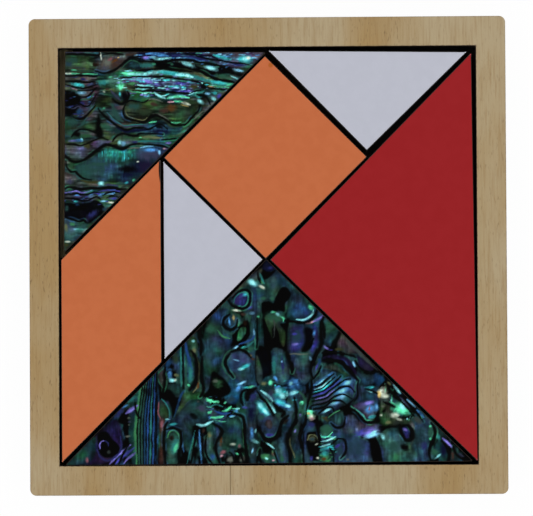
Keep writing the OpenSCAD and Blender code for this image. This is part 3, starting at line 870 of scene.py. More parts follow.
# Triangle of nacre made of strips joined side by side: eyes, folds, a fan of ridges and bundles of upright
# stripes, which end sharply at the joins
largeShell = {
    "settings": {
        **nacreFinish, "seed": 200, "base": ["deep", "slate", "teal", "ink"], "baseSize": (2.2, 4),
        "rimWidth": 1.2, "glow": 0.4, "layerSize": (1.4, 2.2), "fineSize": (0.9, 0.4),
        "lineSize": (0.8, 4), "darkLines": 0.25, "brightLines": 0.25,
        "spacing": 0.18,
    },
    "patches": [
        ("ash", 0.4, [(-1.9, -3), (-1.6, -4.5), (-3, -6.2), (-9, -9.4), (-17, -17), (-20.4, -20),
            (-12, -11.4)]),
        ("navy", 0.3, [(-1.4, -2.7), (-0.2, -0.8), (1, -2), (2, -3), (0.4, -3.8), (-1, -3.7)]),
        ("deep", 0.5, [(2.6, -3.4), (5, -4.6), (12.4, -12.4), (11.4, -13.8), (8, -15.4), (5.8, -15.3),
            (4.2, -14.6), (4.6, -11), (3, -8), (1.4, -9.4), (-0.4, -9), (-0.4, -6)]),
        ("teal", 0.6, [(-0.4, -5.4), (1.6, -4.6), (2.6, -7), (1.6, -9.6), (0, -9.8), (-0.8, -7.6)]),
        ("slate", 0.5, [(5.4, -10.6), (7, -9), (9.4, -11.4), (9.6, -14), (8, -15), (5.8, -14.8),
            (4.6, -13)]),
        ("ink", 0.3, [(-1.2, -3.3), (0.2, -3.9), (1.6, -3.3), (1.9, -3.7), (-0.5, -5.7)]),
        ("ink", 0.25, [(3.2, -7.6), (4.6, -7.6), (5.5, -9), (4.9, -10.6), (4.1, -11.5), (3.9, -13.4),
            (1.5, -13), (-0.9, -14.4), (-1.6, -13.2), (-1.5, -11.3), (0.2, -10.9), (1.3, -11.3),
            (1.8, -10)]),
        ("ink", 0.3, [(-1.2, -15.4), (1, -16), (3.6, -16), (5, -16.4), (4.6, -22.4), (2, -22.6),
            (-1, -22.1)]),
        ("moss", 0.2, [(-0.9, -14.8), (0.4, -13.8), (2.2, -13.9), (3.6, -15), (3, -16.4), (4.1, -18),
            (4.2, -20.4), (3.7, -21.8), (2.7, -20.4), (2.4, -18.4), (1.7, -17), (1, -17.4), (0.9, -20),
            (0.3, -18.2)]),
        ("deep", 0.5, [(-14, -14.6), (-11.5, -12.9), (-9, -13.6), (-7.4, -17), (-8.4, -20), (-9.4, -22.8),
            (-11, -25), (-12, -28), (-15, -28), (-15.6, -20)]),
        ("slate", 0.6, [(-13.6, -13.6), (-11, -12.6), (-9, -13), (-10.6, -15), (-12.4, -15.6)]),
        ("slate", 0.8, [(-15, -19.6), (-11.6, -19), (-9.6, -21.6), (-11.6, -26), (-14.6, -27),
            (-15.6, -23.6)]),
        ("ink", 0.3, [(-8.4, -17.9), (-6.6, -16.4), (-4.7, -15.4), (-4.3, -18.6), (-5.8, -20.9),
            (-7.3, -21), (-8.6, -19.8)]),
        ("jade", 0.2, [(-6.6, -17.2), (-5.4, -17), (-5.2, -18.3), (-6.2, -19.8), (-7.3, -20.4),
            (-7.5, -19.2)]),
        ("iris", 0.2, [(-8.2, -10.8), (-7, -9.2), (-5.8, -8.6), (-4.8, -9.2), (-4.9, -10.9), (-5.8, -12),
            (-7.6, -11.7)]),
        ("slate", 0.2, [(-4.4, -7.6), (-2.9, -7.8), (-2.6, -10), (-2.6, -14), (-3.2, -19.6), (-4.2, -19),
            (-4, -13)]),
        ("deep", 0.2, [(-2.4, -15), (-1.4, -15), (-1.1, -21.8), (-2.6, -21.8)]),
        ("slate", 0.4, [(5, -16.5), (9.4, -16.7), (13, -14.4), (12.5, -16), (12, -18), (12.4, -20),
            (11.6, -22.4), (10.2, -25.4), (10.3, -29), (8.4, -31), (5.8, -28.4), (5.8, -25.6),
            (4.6, -23.2)]),
        ("iris", 0.6, [(11.4, -16.6), (12.1, -20), (10.8, -23.2), (9.9, -22.6), (11, -19.8), (10.4, -17)]),
        ("iris", 0.8, [(5.4, -17), (8.4, -17.2), (8.6, -20.4), (7.8, -22.9), (5.2, -22.6)]),
        ("soot", 0.6, [(8.6, -17.2), (10.8, -17.6), (10.8, -19.8), (9.6, -22.6), (7.8, -22.9),
            (8.6, -20.4)]),
        ("teal", 0.5, [(13.4, -14), (15, -15.6), (16.6, -17.2), (15, -18.6), (13.6, -20.6), (13, -17.6)]),
        ("slate", 0.5, [(13.5, -20.4), (17.2, -17.6), (16.4, -20.4), (14.6, -21.6)]),
        ("ash", 0.4, [(17.4, -18.2), (21.6, -22.4), (21, -23.6), (18, -23.2), (16.4, -21.8)]),
        ("slate", 0.4, [(-9.6, -23.6), (-7, -22.5), (-5, -23.2), (-3.5, -24.8), (-3, -26), (-3, -30.6),
            (-5, -31), (-7, -30.4), (-10, -26)]),
        ("blue", 0.4, [(-9, -29), (-6.6, -30), (-5.4, -31), (-6.4, -33), (-8, -35.6), (-10.6, -33.6)]),
        ("soot", 0.3, [(-2.9, -22.2), (0, -22.1), (0.8, -24), (0.7, -28.2), (-0.8, -29), (-2.9, -31)]),
        ("ash", 0.3, [(-2.9, -24), (-2.2, -24.4), (-1.4, -27.4), (-1.6, -30.6), (-2.9, -29.6)]),
        ("slate", 0.3, [(0.8, -22.4), (3, -22.1), (4, -23.2), (5.2, -27), (5, -29.4), (3.5, -31), (2, -30),
            (1.2, -28)]),
        ("grape", 0.3, [(13, -24.2), (16, -23.6), (18.8, -24.4), (20.4, -26.4), (21.6, -29.4),
            (20.2, -29.4), (18.6, -26.6), (16.6, -25.5), (13, -25.6)]),
        ("ash", 0.4, [(13.2, -26.6), (15.6, -26), (17.8, -27.4), (19.6, -29.2), (18, -28.4),
            (14.6, -27.2)]),
        ("grape", 0.4, [(21, -24.2), (22.6, -24.4), (25.2, -26.9), (24, -27.7), (22, -27)]),
        ("slate", 0.4, [(21.4, -28), (23.6, -28.4), (25.6, -28.4), (25, -30.8), (22, -31)]),
        ("blue", 0.4, [(25.2, -27.8), (27.8, -29.6), (27, -31), (25.4, -31.2)]),
        ("slate", 0.15, [(10.4, -30.8), (12, -28.8), (13, -27.1), (15.6, -27.6), (18, -28.3), (20.3, -29.6),
            (21, -31), (20.8, -33), (19.8, -35), (17.8, -35.9), (15.2, -37.6), (12, -38.2), (10.4, -36.6)]),
        ("slate", 0.15, [(21.4, -30.8), (23.4, -31.2), (26.15, -31.4), (26.15, -35.2), (23, -34.5),
            (21.3, -35.2)]),
        ("dusk", 0.25, [(19.8, -36.1), (23, -34.6), (24.8, -34.7), (26.15, -35.5), (26.1, -37),
            (24.8, -39.2), (23.4, -39), (21.4, -37.2)]),
        ("ink", 0.3, [(16.8, -36.4), (18.8, -35.4), (20.8, -33.8), (19.4, -36.4), (22.6, -39), (24.6, -40),
            (20.4, -39.8), (18.4, -38.9), (17.4, -37.4)]),
        ("dusk", 0.5, [(17.8, -38.8), (20, -37.9), (22, -39.6), (26, -40.3), (25.6, -41), (22, -42.2),
            (18, -42.6)]),
        ("slate", 0.4, [(17.4, -44), (19.4, -42.8), (23, -44), (24.4, -45), (24.2, -47), (24.8, -49.6),
            (15.6, -49.6)]),
        ("teal", 0.3, [(26.3, -44.6), (27.6, -41.6), (31, -41.4), (34.6, -46.4), (36, -49.6), (28.4, -49.6),
            (27.2, -46.5)]),
        ("stone", 0.5, [(31, -39.8), (33.4, -39.2), (34.8, -40.6), (34.6, -43.6), (33.6, -46), (34.4, -43),
            (33.4, -40.6)]),
        ("ink", 0.25, [(24.2, -44.8), (25.5, -43.6), (26.6, -46), (27.1, -49.6), (25, -49.6),
            (24.4, -46.8)]),
        ("slate", 0.4, [(34.8, -40.4), (36.6, -40.2), (38.4, -42.6), (38.2, -47), (37.6, -49.6),
            (36, -49.6), (35, -46)]),
        ("moss", 0.6, [(26.4, -33), (28.6, -33), (30, -37.6), (34, -39.4), (33, -40.4), (27, -40.6),
            (26.3, -37)]),
        ("iris", 0.25, [(31.5, -41.5), (32.3, -40.9), (33.6, -41.9), (33.7, -43.2), (32.8, -43.9),
            (31.9, -43)]),
        ("ink", 0.4, [(-13.4, -27.6), (-11.4, -28.4), (-8.9, -31.4), (-9.6, -33.2), (-12.6, -33.9),
            (-16, -33.6), (-14.4, -31.6)]),
        ("deep", 0.3, [(-21, -36.6), (-18.6, -34.4), (-16.4, -34.3), (-14.8, -35.8), (-14.2, -38),
            (-15, -39.6), (-17, -40.2), (-20, -41), (-24, -40.6), (-23.2, -39)]),
        ("deep", 0.6, [(-20.4, -39), (-18.8, -38.6), (-18, -41), (-18.4, -44), (-20.2, -44.6),
            (-20.8, -42)]),
        ("deep", 0.3, [(-10.8, -39), (-9, -38.2), (-7.1, -38.6), (-6.1, -40.5), (-5.9, -43), (-6, -45.6),
            (-8, -46), (-10.5, -45.2), (-11.4, -42)]),
        ("slate", 0.2, [(-5.2, -35.4), (-3.05, -35.4), (-3.05, -49.6), (-5, -49.6), (-5, -44), (-5.4, -40)]),
        ("slate", 0.25, [(-2.6, -37.4), (-0.6, -36.8), (1.6, -38.2), (2.6, -39.6), (2.3, -41.4), (1.2, -43),
            (-0.3, -43.5), (-1.6, -42), (-2.8, -40)]),
        ("ash", 0.2, [(-0.6, -39.2), (0.4, -39.1), (0.9, -40.2), (0.6, -41.3), (-0.3, -41.2),
            (-0.9, -40.3)]),
        ("slate", 0.4, [(0.6, -44), (3.8, -43.2), (4.4, -46), (4.8, -49.6), (2.2, -49.6), (1.6, -46.6)]),
        ("ink", 0.2, [(-1.8, -44), (-0.5, -44.3), (1.5, -46.4), (-1.8, -46)]),
        ("deep", 0.3, [(5.6, -38), (7.2, -37.4), (8.6, -38.4), (7.2, -42), (7.8, -49.6), (5.4, -49.6),
            (4.9, -44.4)]),
        ("slate", 0.4, [(8.6, -39.6), (10, -39.4), (11.6, -41.6), (9.2, -43), (9.2, -46), (10.6, -49.6),
            (8.4, -49.6)]),
        ("ink", 0.25, [(9, -42.6), (11, -42.1), (12.4, -43.5), (12.6, -45.2), (11, -49), (9.9, -47)]),
        ("teal", 0.2, [(14.3, -38.7), (17.2, -36.9), (17.9, -38.4), (17.6, -40.3), (16.2, -40.5)]),
        ("jade", 0.3, [(12.4, -42), (13, -40.4), (14.6, -40.2), (15.4, -41.6), (14.4, -43.2),
            (12.8, -43.4)]),
        ("grape", 0.5, [(-42, -43.4), (-38, -39.6), (-36, -38.9), (-35, -41.5), (-35, -46), (-37, -48.8),
            (-40, -49.6), (-44, -49.6)]),
        ("deep", 0.5, [(-49, -49.6), (-42, -43), (-41.2, -45.4), (-41.6, -47.6), (-43.4, -49.4)]),
        ("ink", 0.3, [(-40.8, -42.3), (-38.8, -41.7), (-37.4, -43.4), (-35.9, -44.9), (-35.7, -46.6),
            (-37.5, -47.9), (-39.3, -47.9), (-40.6, -46.6), (-40.8, -44)]),
        ("ink", 0.3, [(-36, -39.4), (-33.6, -36.2), (-32.4, -37), (-32.6, -41.4), (-34, -42), (-34.4, -45),
            (-32.8, -45.2), (-31.8, -43), (-32, -41)]),
        ("deep", 0.3, [(-33, -34), (-27.2, -28), (-26.4, -31), (-26, -36), (-26.2, -42), (-26.8, -49.6),
            (-32.6, -49.6)]),
        ("ash", 0.2, [(-25.2, -26.4), (-26.6, -28.4), (-25.1, -32), (-24.4, -30), (-24.8, -28.4)]),
        ("deep", 0.4, [(-24, -30.6), (-21, -30.4), (-20.2, -32), (-21.6, -33.4), (-23.4, -32.8)]),
        ("ink", 0.4, [(-25, -32.4), (-23.5, -31.9), (-22, -33.6), (-20.6, -33.8), (-21.4, -36),
            (-23, -38.6), (-23.4, -36), (-24.4, -34)]),
        ("leaf", 0.3, [(-20.4, -32.8), (-18, -32.2), (-16.2, -32.6), (-16.4, -34.2), (-18.8, -34.4),
            (-20.8, -36.6), (-21.4, -38), (-21, -34.6)]),
        ("moss", 0.2, [(-25.9, -34.4), (-24.9, -35), (-23.9, -36.8), (-23.9, -38.7), (-25.8, -38.9),
            (-26.2, -37)]),
        ("umber", 0.4, [(-26.2, -39), (-24.6, -39.2), (-24.9, -44), (-25, -49.6), (-26.4, -49.6),
            (-26, -44)]),
        ("teal", 0.2, [(-24, -42.2), (-22.8, -41.6), (-21.5, -42.6), (-21.2, -44.6), (-21.7, -47),
            (-21.8, -49.6), (-24.3, -49.6), (-24.3, -46), (-24.5, -43.6)]),
        ("leaf", 0.3, [(-18.9, -19.4), (-17.2, -19.6), (-16.7, -22.4), (-17.2, -25), (-18.6, -23.8),
            (-19.2, -21.4)]),
        ("teal", 0.25, [(-15.3, -43), (-14, -41.8), (-13.1, -42.4), (-13.1, -45), (-12.3, -47.5),
            (-11.6, -49.6), (-14, -49.6), (-15.2, -47.6), (-15.7, -45.4)]),
    ],
    "silk": [
        (0.3, (0.5, 5), [(26.5, -44), (30, -41), (34, -44), (37, -49.6), (28, -49.6)]),
    ],
    "glints": [
        (("azure", "aqua"), (1.4, 0.8), 0.3, [(1, -30), (7.6, -29), (8, -33), (5, -37), (1, -35.6)]),
        (("foam", "mint"), (0.6, 1.2), 0.4, [(26.4, -30), (28.4, -29.6), (37, -38.6), (34, -40),
            (27, -37)]),
        (("mint", "azure"), (1.5, 0.4), 0.35, [(-15, -33.6), (-8.6, -34), (-7, -38), (-11, -40),
            (-14.6, -39)]),
        (("aqua", "fern"), (1.4, 0.4), 0.35, [(12.2, -43), (17, -43), (15.4, -49.6), (12, -49.6)]),
    ],
    "lenses": [
        ("iris", 0.5, -2.9, 0.6, 0.4, 0), ("foam", -3.6, -6.4, 1.2, 0.8, -30),
        ("pearl", -1.4, -7.5, 0.9, 0.35, -30), ("fern", -1.3, -6.2, 0.7, 0.4, -70),
        ("jade", -1.2, -10.2, 0.7, 0.5, 0), ("jade", 1, -10.4, 0.7, 0.4, -20),
        ("mint", 10.2, -12.4, 0.8, 0.5, -50), ("jade", 1.4, -14.7, 2.4, 1.1, -10),
        ("foam", 2.3, -14, 0.7, 0.4, -40),
        ("mint", 1.3, -13.5, 0.7, 0.3, 0), ("mint", -2.3, -14.5, 0.35, 0.3, 0),
        ("aqua", -5.5, -9.2, 0.6, 0.5, 0), ("slate", -8.6, -11, 0.6, 0.5, 20),
        ("umber", -8.2, -9.4, 0.8, 0.4, 45), ("pearl", -7.4, -13, 1.2, 0.3, -5),
        ("violet", -4.4, -12.4, 0.8, 0.35, 20), ("sky", -3.9, -13.8, 0.6, 0.4, 0),
        ("sky", -3.4, -18.3, 0.25, 0.9, 0), ("umber", -5.9, -14, 0.6, 0.4, 0),
        ("slate", -8.7, -15.6, 1.4, 1.4, 0), ("azure", -9.2, -15.6, 0.25, 0.9, 10),
        ("gold", -8.2, -14.8, 0.3, 0.9, 10), ("peat", -5.5, -16, 0.5, 0.8, 0),
        ("jade", -13.6, -17.4, 1.2, 1, 0), ("foam", -17.9, -20.3, 0.4, 0.3, 0),
        ("khaki", -17.7, -22.6, 0.5, 0.9, 0), ("sky", -7.8, -21.9, 0.8, 0.3, 30),
        ("jade", -4.3, -22.2, 0.8, 0.7, 0), ("aqua", -5.9, -21.8, 0.6, 0.25, 10),
        ("gold", -4.4, -23.7, 0.6, 0.3, -35), ("umber", -3.7, -24.6, 0.5, 0.3, -30),
        ("sky", -7.6, -24.9, 0.9, 0.2, -10), ("foam", -6.5, -27, 0.9, 0.4, 10),
        ("aqua", -5.4, -26.4, 1.2, 0.5, 20), ("khaki", -1.1, -30.5, 0.7, 0.6, 0),
        ("mint", 0.5, -30.3, 0.6, 0.8, 0), ("azure", 1.7, -29.3, 0.8, 0.4, -50),
        ("iris", 3.4, -26, 0.4, 2.4, 4), ("sky", 3.3, -25.2, 0.25, 0.3, 0),
        ("lagoon", 1.4, -26, 0.5, 2.4, 0), ("blue", 5.8, -31, 2.2, 2, 0), ("azure", 5.8, -30.5, 1.3, 1, 50),
        ("foam", 5.4, -30.6, 0.6, 0.4, 40), ("azure", 6.9, -30.6, 0.4, 1, 20),
        ("foam", 6, -32.8, 1.2, 0.6, 15), ("foam", 4.4, -33, 0.35, 0.7, 0),
        ("aqua", 2.8, -32.8, 1.7, 1.4, 35), ("foam", 2.2, -32.2, 0.9, 0.7, 0),
        ("foam", 3.3, -33.4, 0.8, 1, 30), ("sky", -6.4, -30.3, 1.2, 0.35, 25),
        ("azure", -7.2, -31.6, 0.5, 0.9, -30), ("aqua", -5.2, -31.4, 0.9, 0.3, 0),
        ("mint", -3.9, -31.3, 1, 0.4, 0), ("iris", -3.9, -33.7, 0.9, 0.9, 0),
        ("navy", -4.2, -37.6, 0.9, 1.6, 0),
        ("aqua", -1.4, -36.4, 2.1, 1, -50), ("foam", -2, -35.8, 0.9, 0.6, -50),
        ("foam", -0.8, -37, 1.1, 0.5, -50), ("azure", 3.4, -35.4, 2.4, 1, -30),
        ("aqua", 3, -35, 1.6, 0.6, -25), ("foam", 4.6, -35.9, 0.7, 0.4, -20),
        ("mint", 8, -35.1, 0.8, 0.5, 30), ("jade", 7.4, -36.8, 0.9, 1.4, 0),
        ("violet", -5.6, -36.2, 0.8, 0.3, 0), ("leaf", -12.2, -30.4, 1.4, 1.1, -35),
        ("stone", -12.8, -29.8, 0.7, 0.4, 0), ("slate", -9, -34.4, 1.2, 0.9, 30),
        ("dusk", -16, -36.4, 1.2, 0.9, 0), ("ash", -16.8, -34.8, 0.4, 0.25, 0),
        ("ink", -17.8, -38.2, 1.1, 0.6, -30), ("umber", -15.6, -41.6, 0.4, 0.7, 0),
        ("ink", -15, -42.2, 0.6, 0.6, 0), ("khaki", -14.1, -42.6, 0.5, 0.8, 0),
        ("cobalt", -13.4, -48, 0.8, 0.8, 0), ("rose", -11, -46.8, 0.9, 0.5, 30),
        ("blush", -11.3, -47.7, 0.5, 0.35, 30), ("rose", -7, -45.3, 0.4, 0.5, 0),
        ("pearl", -8.5, -44.9, 0.7, 0.35, 0), ("ash", -8.4, -45.3, 0.3, 0.2, 0),
        ("stone", -9.2, -48.6, 0.9, 0.8, 0), ("mint", -7.6, -47.2, 0.5, 0.25, -40),
        ("stone", -6.3, -48.4, 0.7, 0.9, 0), ("rust", -11.5, -43.6, 0.4, 1.6, 0),
        ("azure", -4, -42.4, 0.5, 1.6, 0), ("foam", -3.1, -41.7, 0.25, 0.6, -15),
        ("foam", -3.2, -44.3, 0.9, 0.4, -25), ("sky", -3.9, -46.5, 0.25, 0.7, -15),
        ("foam", -2.5, -47.1, 0.15, 0.7, -30), ("violet", 0, -42.8, 1.1, 0.4, 0),
        ("teal", -1.8, -38.5, 0.8, 0.7, 0), ("peat", 3.8, -39.4, 0.9, 0.7, 40),
        ("lilac", 6.3, -41.8, 0.3, 0.5, -20), ("lilac", 7.6, -38, 0.3, 0.4, 0),
        ("fern", -0.9, -48, 1.1, 0.8, 0), ("foam", -0.6, -48.3, 0.5, 0.3, -30),
        ("rust", 1, -47.2, 0.3, 0.7, 10), ("blush", 1.1, -48.8, 0.45, 0.3, 0),
        ("jade", 3.1, -48.3, 0.6, 1, 0), ("iris", 10.2, -40.4, 0.9, 0.8, 0),
        ("khaki", 10.3, -43.7, 1, 0.9, 0), ("slate", 10.4, -43.8, 0.7, 0.5, 0),
        ("pearl", 11.4, -45, 0.5, 0.2, 20), ("violet", 10.2, -48.4, 0.4, 0.6, 0),
        ("fern", 13.4, -48, 1, 1.3, 10), ("aqua", 13.3, -47.2, 0.9, 0.7, 20),
        ("jade", 14, -41.6, 1.4, 1.4, 0),
        ("aqua", 13.9, -45.8, 1.5, 0.4, 20), ("pearl", 11.7, -48.3, 0.4, 0.3, 0),
        ("rust", 13.1, -48.5, 0.6, 0.4, 0), ("mint", 9.7, -37.7, 1.2, 1.1, 0),
        ("pearl", 10.2, -38.5, 0.8, 0.8, 0), ("gold", 9.5, -37.6, 0.4, 0.35, 0),
        ("blush", 10.3, -38.8, 0.5, 0.4, -40), ("mint", 9.7, -37.1, 1, 0.3, 0),
        ("olive", 13.5, -39, 0.9, 0.4, -30), ("rust", 13.7, -38.6, 0.3, 0.2, 0),
        ("slate", 20.6, -46.2, 2.6, 2.8, 0), ("slate", 16.8, -46, 1, 1.4, 20),
        ("violet", 16.4, -45.4, 0.7, 0.35, 40),
        ("stone", 18.8, -48.7, 0.4, 0.3, 0), ("slate", 7, -19.4, 1.2, 1.8, 0),
        ("violet", 6.3, -18.7, 0.6, 0.35, 0), ("lilac", 6.5, -21.2, 0.8, 0.35, 10),
        ("sky", 10, -24.6, 0.3, 0.5, 20), ("deep", 7.7, -27.3, 0.45, 0.45, 0),
        ("azure", 11, -18.4, 0.4, 0.6, 0), ("lilac", 13.8, -22, 0.8, 0.3, -35),
        ("violet", 14.9, -22.6, 0.6, 0.25, 10), ("olive", 17, -22.4, 1.1, 0.4, 0),
        ("sky", 20.5, -26, 0.25, 0.9, 20), ("violet", 11.6, -26.6, 0.3, 1.1, -20),
        ("blue", 12.2, -25.4, 0.5, 1, 0), ("azure", 18.7, -30.5, 1.8, 1, 40),
        ("foam", 18.9, -30.4, 1.1, 0.6, 40), ("azure", 17.8, -32.3, 2, 0.8, 20),
        ("foam", 17.6, -32.3, 1.2, 0.5, 20), ("sky", 17.2, -33.8, 1.6, 0.7, 30),
        ("sky", 15.9, -35.2, 1.4, 0.5, 20), ("foam", 13.8, -37, 1.2, 0.35, 20),
        ("violet", 22, -38, 0.6, 0.3, 0), ("lilac", 23.6, -35.3, 1.5, 0.5, 15),
        ("azure", 25.6, -36.1, 0.6, 1.2, 0), ("sky", 25.8, -36.2, 0.3, 0.5, 0),
        ("azure", 24, -36.7, 1.2, 1, 0), ("rose", 24, -36.6, 0.25, 0.5, 0),
        ("aqua", 24.5, -38.6, 0.9, 0.5, 20),
        ("aqua", 24.2, -31.6, 1.3, 0.25, 0), ("foam", 24.1, -32.4, 0.9, 0.18, -20),
        ("violet", 23, -42.2, 2.6, 1, 12), ("lilac", 24.4, -42, 2.3, 1, 22),
        ("sky", 24.8, -42.9, 2.2, 0.7, 12), ("foam", 25.2, -42.2, 0.9, 0.35, 25),
        ("foam", 27.2, -43.2, 0.5, 0.9, 20), ("teal", 29.6, -45.6, 1.8, 1.4, 0),
        ("lilac", 32.5, -41.7, 0.6, 0.35, -20), ("ink", 32.4, -45.9, 1, 0.7, -20),
        ("iris", 37, -45.6, 0.7, 1.4, 0), ("ash", 35.5, -39.4, 1.3, 0.7, -45),
        ("jade", 38.5, -42.6, 0.6, 1.8, 0), ("mint", 38.5, -40.8, 0.35, 0.3, 0),
        ("mint", 38.6, -43.9, 0.35, 0.4, 0), ("foam", 40.3, -48, 0.9, 0.3, 35),
        ("jade", 39.6, -47, 0.9, 0.8, 0), ("navy", 41.6, -46.6, 0.7, 1.7, 0),
        ("umber", 43.8, -47.8, 0.4, 1.2, 0), ("dusk", 45.7, -47.8, 0.9, 0.4, -30),
        ("lagoon", 40.4, -43.5, 0.5, 1, 20), ("mint", 31.6, -36.8, 2.4, 1.3, -20),
        ("pearl", 30.2, -38.2, 1, 0.7, 0), ("foam", 32, -36.2, 0.9, 0.6, -35),
        ("pearl", 31, -39.1, 0.8, 0.3, -20), ("khaki", 28.6, -39.9, 0.9, 0.4, 0),
        ("mint", 29.6, -35.4, 1.2, 0.3, -35), ("stone", 27.2, -36, 0.5, 0.3, -20),
        ("pearl", 26.8, -38.2, 0.3, 0.3, 0), ("peat", 28, -31.2, 0.8, 0.5, -30),
        ("khaki", 28.8, -30.6, 0.7, 0.3, -45), ("ink", 27.6, -37, 0.5, 0.8, -20),
        ("pearl", 27.1, -32.6, 1, 1.3, 10), ("gold", 26.4, -33.2, 0.5, 0.9, 10),
        ("pearl", 27.9, -33.6, 0.9, 0.5, 0), ("azure", -34.2, -35.8, 1, 0.25, 30),
        ("lagoon", -32.6, -34, 1.1, 0.5, 45), ("iris", -35.4, -37.2, 1.5, 0.6, 45),
        ("rose", -31.5, -37.1, 0.3, 0.8, 0), ("stone", -33.4, -38.6, 0.5, 0.25, 0),
        ("dusk", -33.3, -39.4, 0.4, 0.2, 0), ("stone", -33.4, -40.1, 0.3, 0.2, 0),
        ("stone", -33.6, -42.9, 0.7, 0.25, 0), ("ash", -38.2, -46.6, 0.5, 0.4, 0),
        ("teal", -45.4, -46.6, 1.2, 0.5, 45), ("rose", -43.4, -48.6, 0.4, 0.6, 0),
        ("blue", -23.9, -25.4, 0.7, 1.6, -10), ("moss", -22.2, -24.4, 0.8, 1.6, 0),
        ("azure", -23.6, -28.2, 0.6, 1.3, 0), ("foam", -22.9, -29.6, 1.1, 0.5, -10),
        ("pearl", -22.2, -29.6, 0.4, 0.3, 30), ("khaki", -21.9, -28.4, 0.6, 0.4, -20),
        ("lagoon", -18.6, -28, 0.7, 2.6, 0), ("mint", -19, -30.8, 0.5, 0.25, -40),
        ("blue", -18.9, -25.2, 0.5, 1.2, 0), ("rose", -25.4, -40, 0.5, 1.4, 0),
        ("foam", -24.2, -38.9, 0.5, 0.2, 0), ("aqua", -22.9, -40.1, 1.2, 0.3, 10),
        ("peat", -23.2, -43.5, 0.6, 0.7, 0), ("lagoon", -22.4, -45.2, 0.9, 1.9, -10),
        ("mint", -22.1, -45.6, 0.5, 1.3, -20),
    ],
    "streaks": [
        ("lagoon", 0.5, [(-1.9, -4.2), (-1.6, -5.2), (-0.9, -6.6)]),
        ("foam", 0.5, [(10.8, -13), (10.6, -14), (9.6, -14.9), (8.3, -15.4), (6.8, -15.3)]),
        ("mint", 0.5, [(3, -14.6), (3.6, -15), (3.6, -15.6)]),
        ("ash", 0.35, [(1.1, -15.2), (1.5, -16.6), (1.3, -19.6)]),
        ("teal", 0.5, [(-11, -16.8), (-10.1, -18.1), (-8.6, -18.5), (-7.2, -17.4)]),
        ("fern", 0.45, [(-12, -17.8), (-10.9, -19.1), (-9.2, -19.7)]),
        ("lagoon", 0.35, [(-8.2, -11.3), (-7.8, -9.9), (-6.4, -8.8), (-5.2, -8.8), (-4.7, -10.3),
            (-5.5, -11.9), (-7.2, -12)]),
        ("lagoon", 0.5, [(-6.2, -22), (-4.8, -21.5), (-3.6, -20.6)]),
        ("cobalt", 0.5, [(-7, -21.1), (-4, -20), (-3.3, -19)]),
        ("jade", 0.4, [(-8.3, -22.4), (-9.8, -23), (-10.7, -24.5), (-10.9, -26), (-10.4, -27.5),
            (-9.4, -28.5)]),
        ("blush", 0.5, [(9, -16.3), (11.2, -15.7)]),
        ("lilac", 0.7, [(10.8, -15.9), (12, -15.2), (13, -14.4)]),
        ("ink", 0.9, [(10.8, -19.8), (10.1, -21.4), (9.1, -22.6), (8.2, -22.9)]),
        ("stone", 0.3, [(4.6, -23.6), (6.2, -23.4), (8, -23.6), (9.4, -23.6)]),
        ("ash", 0.8, [(18.6, -20), (20.2, -21.8), (26, -27.4)]),
        ("jade", 0.35, [(20.7, -31), (20.7, -32.4), (20.1, -33.8)]),
        ("mint", 0.35, [(19.6, -35.9), (22.4, -38.1), (23.2, -39.3), (24.6, -39.3)]),
        ("foam", 0.6, [(29.8, -31), (31.4, -33)]),
        ("sky", 0.4, [(33, -34.4), (35, -36.4)]),
        ("azure", 0.5, [(35.4, -37), (37, -38.8)]),
        ("dusk", 0.5, [(31.4, -34), (32.4, -35), (33.6, -36.5)]),
        ("lilac", 0.6, [(41.4, -43.7), (43.2, -45.3), (43.8, -46)]),
        ("foam", 0.4, [(-0.6, -44.6), (1.3, -46.1)]),
        ("foam", 0.6, [(-1.8, -32.2), (0.2, -33.6), (1, -34.6)]),
        ("foam", 1.1, [(-0.6, -34.8), (1.5, -37.4)]),
        ("jade", 0.8, [(7.4, -32.6), (8.6, -34), (8.6, -36), (7.9, -38.2)]),
        ("lagoon", 0.4, [(-5.8, -32.2), (-5.9, -33.6), (-5.7, -35)]),
        ("mint", 0.5, [(-14.9, -33.9), (-13.7, -35.1)]),
        ("mint", 0.5, [(-13.1, -34.9), (-12.4, -34.7), (-11.8, -34.8)]),
        ("lagoon", 0.4, [(-14, -36), (-12.5, -35.4), (-10.8, -36)]),
        ("mint", 0.7, [(-10.6, -37), (-9.7, -36.6), (-8.9, -36)]),
        ("foam", 0.4, [(-7.9, -36.5), (-7, -36.4)]),
        ("cobalt", 0.5, [(-12.8, -37), (-11, -37.6), (-9, -37.4)]),
        ("mint", 0.6, [(-13.8, -38.6), (-12.4, -38.6), (-10.9, -38.2)]),
        ("foam", 0.7, [(-17.2, -40.2), (-15.6, -40.3), (-13.3, -39.5)]),
        ("foam", 0.25, [(-9.2, -38.3), (-8.4, -38.3), (-7.8, -37.9)]),
        ("fern", 0.35, [(-6.3, -40), (-6, -42.5), (-6.1, -44.8)]),
        ("khaki", 0.35, [(5, -43.4), (5.2, -45.4), (6.2, -48.2)]),
        ("foam", 0.4, [(12.6, -44.3), (14.2, -44.1), (16, -43.2)]),
        ("foam", 0.4, [(12.5, -45.6), (13.6, -45.2), (14.6, -45)]),
        ("fern", 0.3, [(14.2, -38.7), (15.6, -37.6), (17, -36.9)]),
        ("mint", 0.25, [(12.3, -42.6), (12.8, -43.3), (14, -43.3), (15.2, -42.2)]),
        ("khaki", 0.3, [(9.2, -44), (9.6, -43), (10.5, -42.7), (11.4, -43.2), (11.7, -44.2)]),
        ("lilac", 0.6, [(-38, -49.5), (-36.6, -48), (-33, -45)]),
        ("violet", 0.6, [(-36.6, -49.5), (-35.2, -48), (-32, -45.6)]),
        ("lilac", 0.5, [(-34.6, -49.4), (-33.4, -48), (-31.8, -46.8)]),
        ("iris", 0.5, [(-41, -46), (-40.2, -47.8), (-38.4, -48.7), (-36.4, -47.7), (-35.3, -45.8),
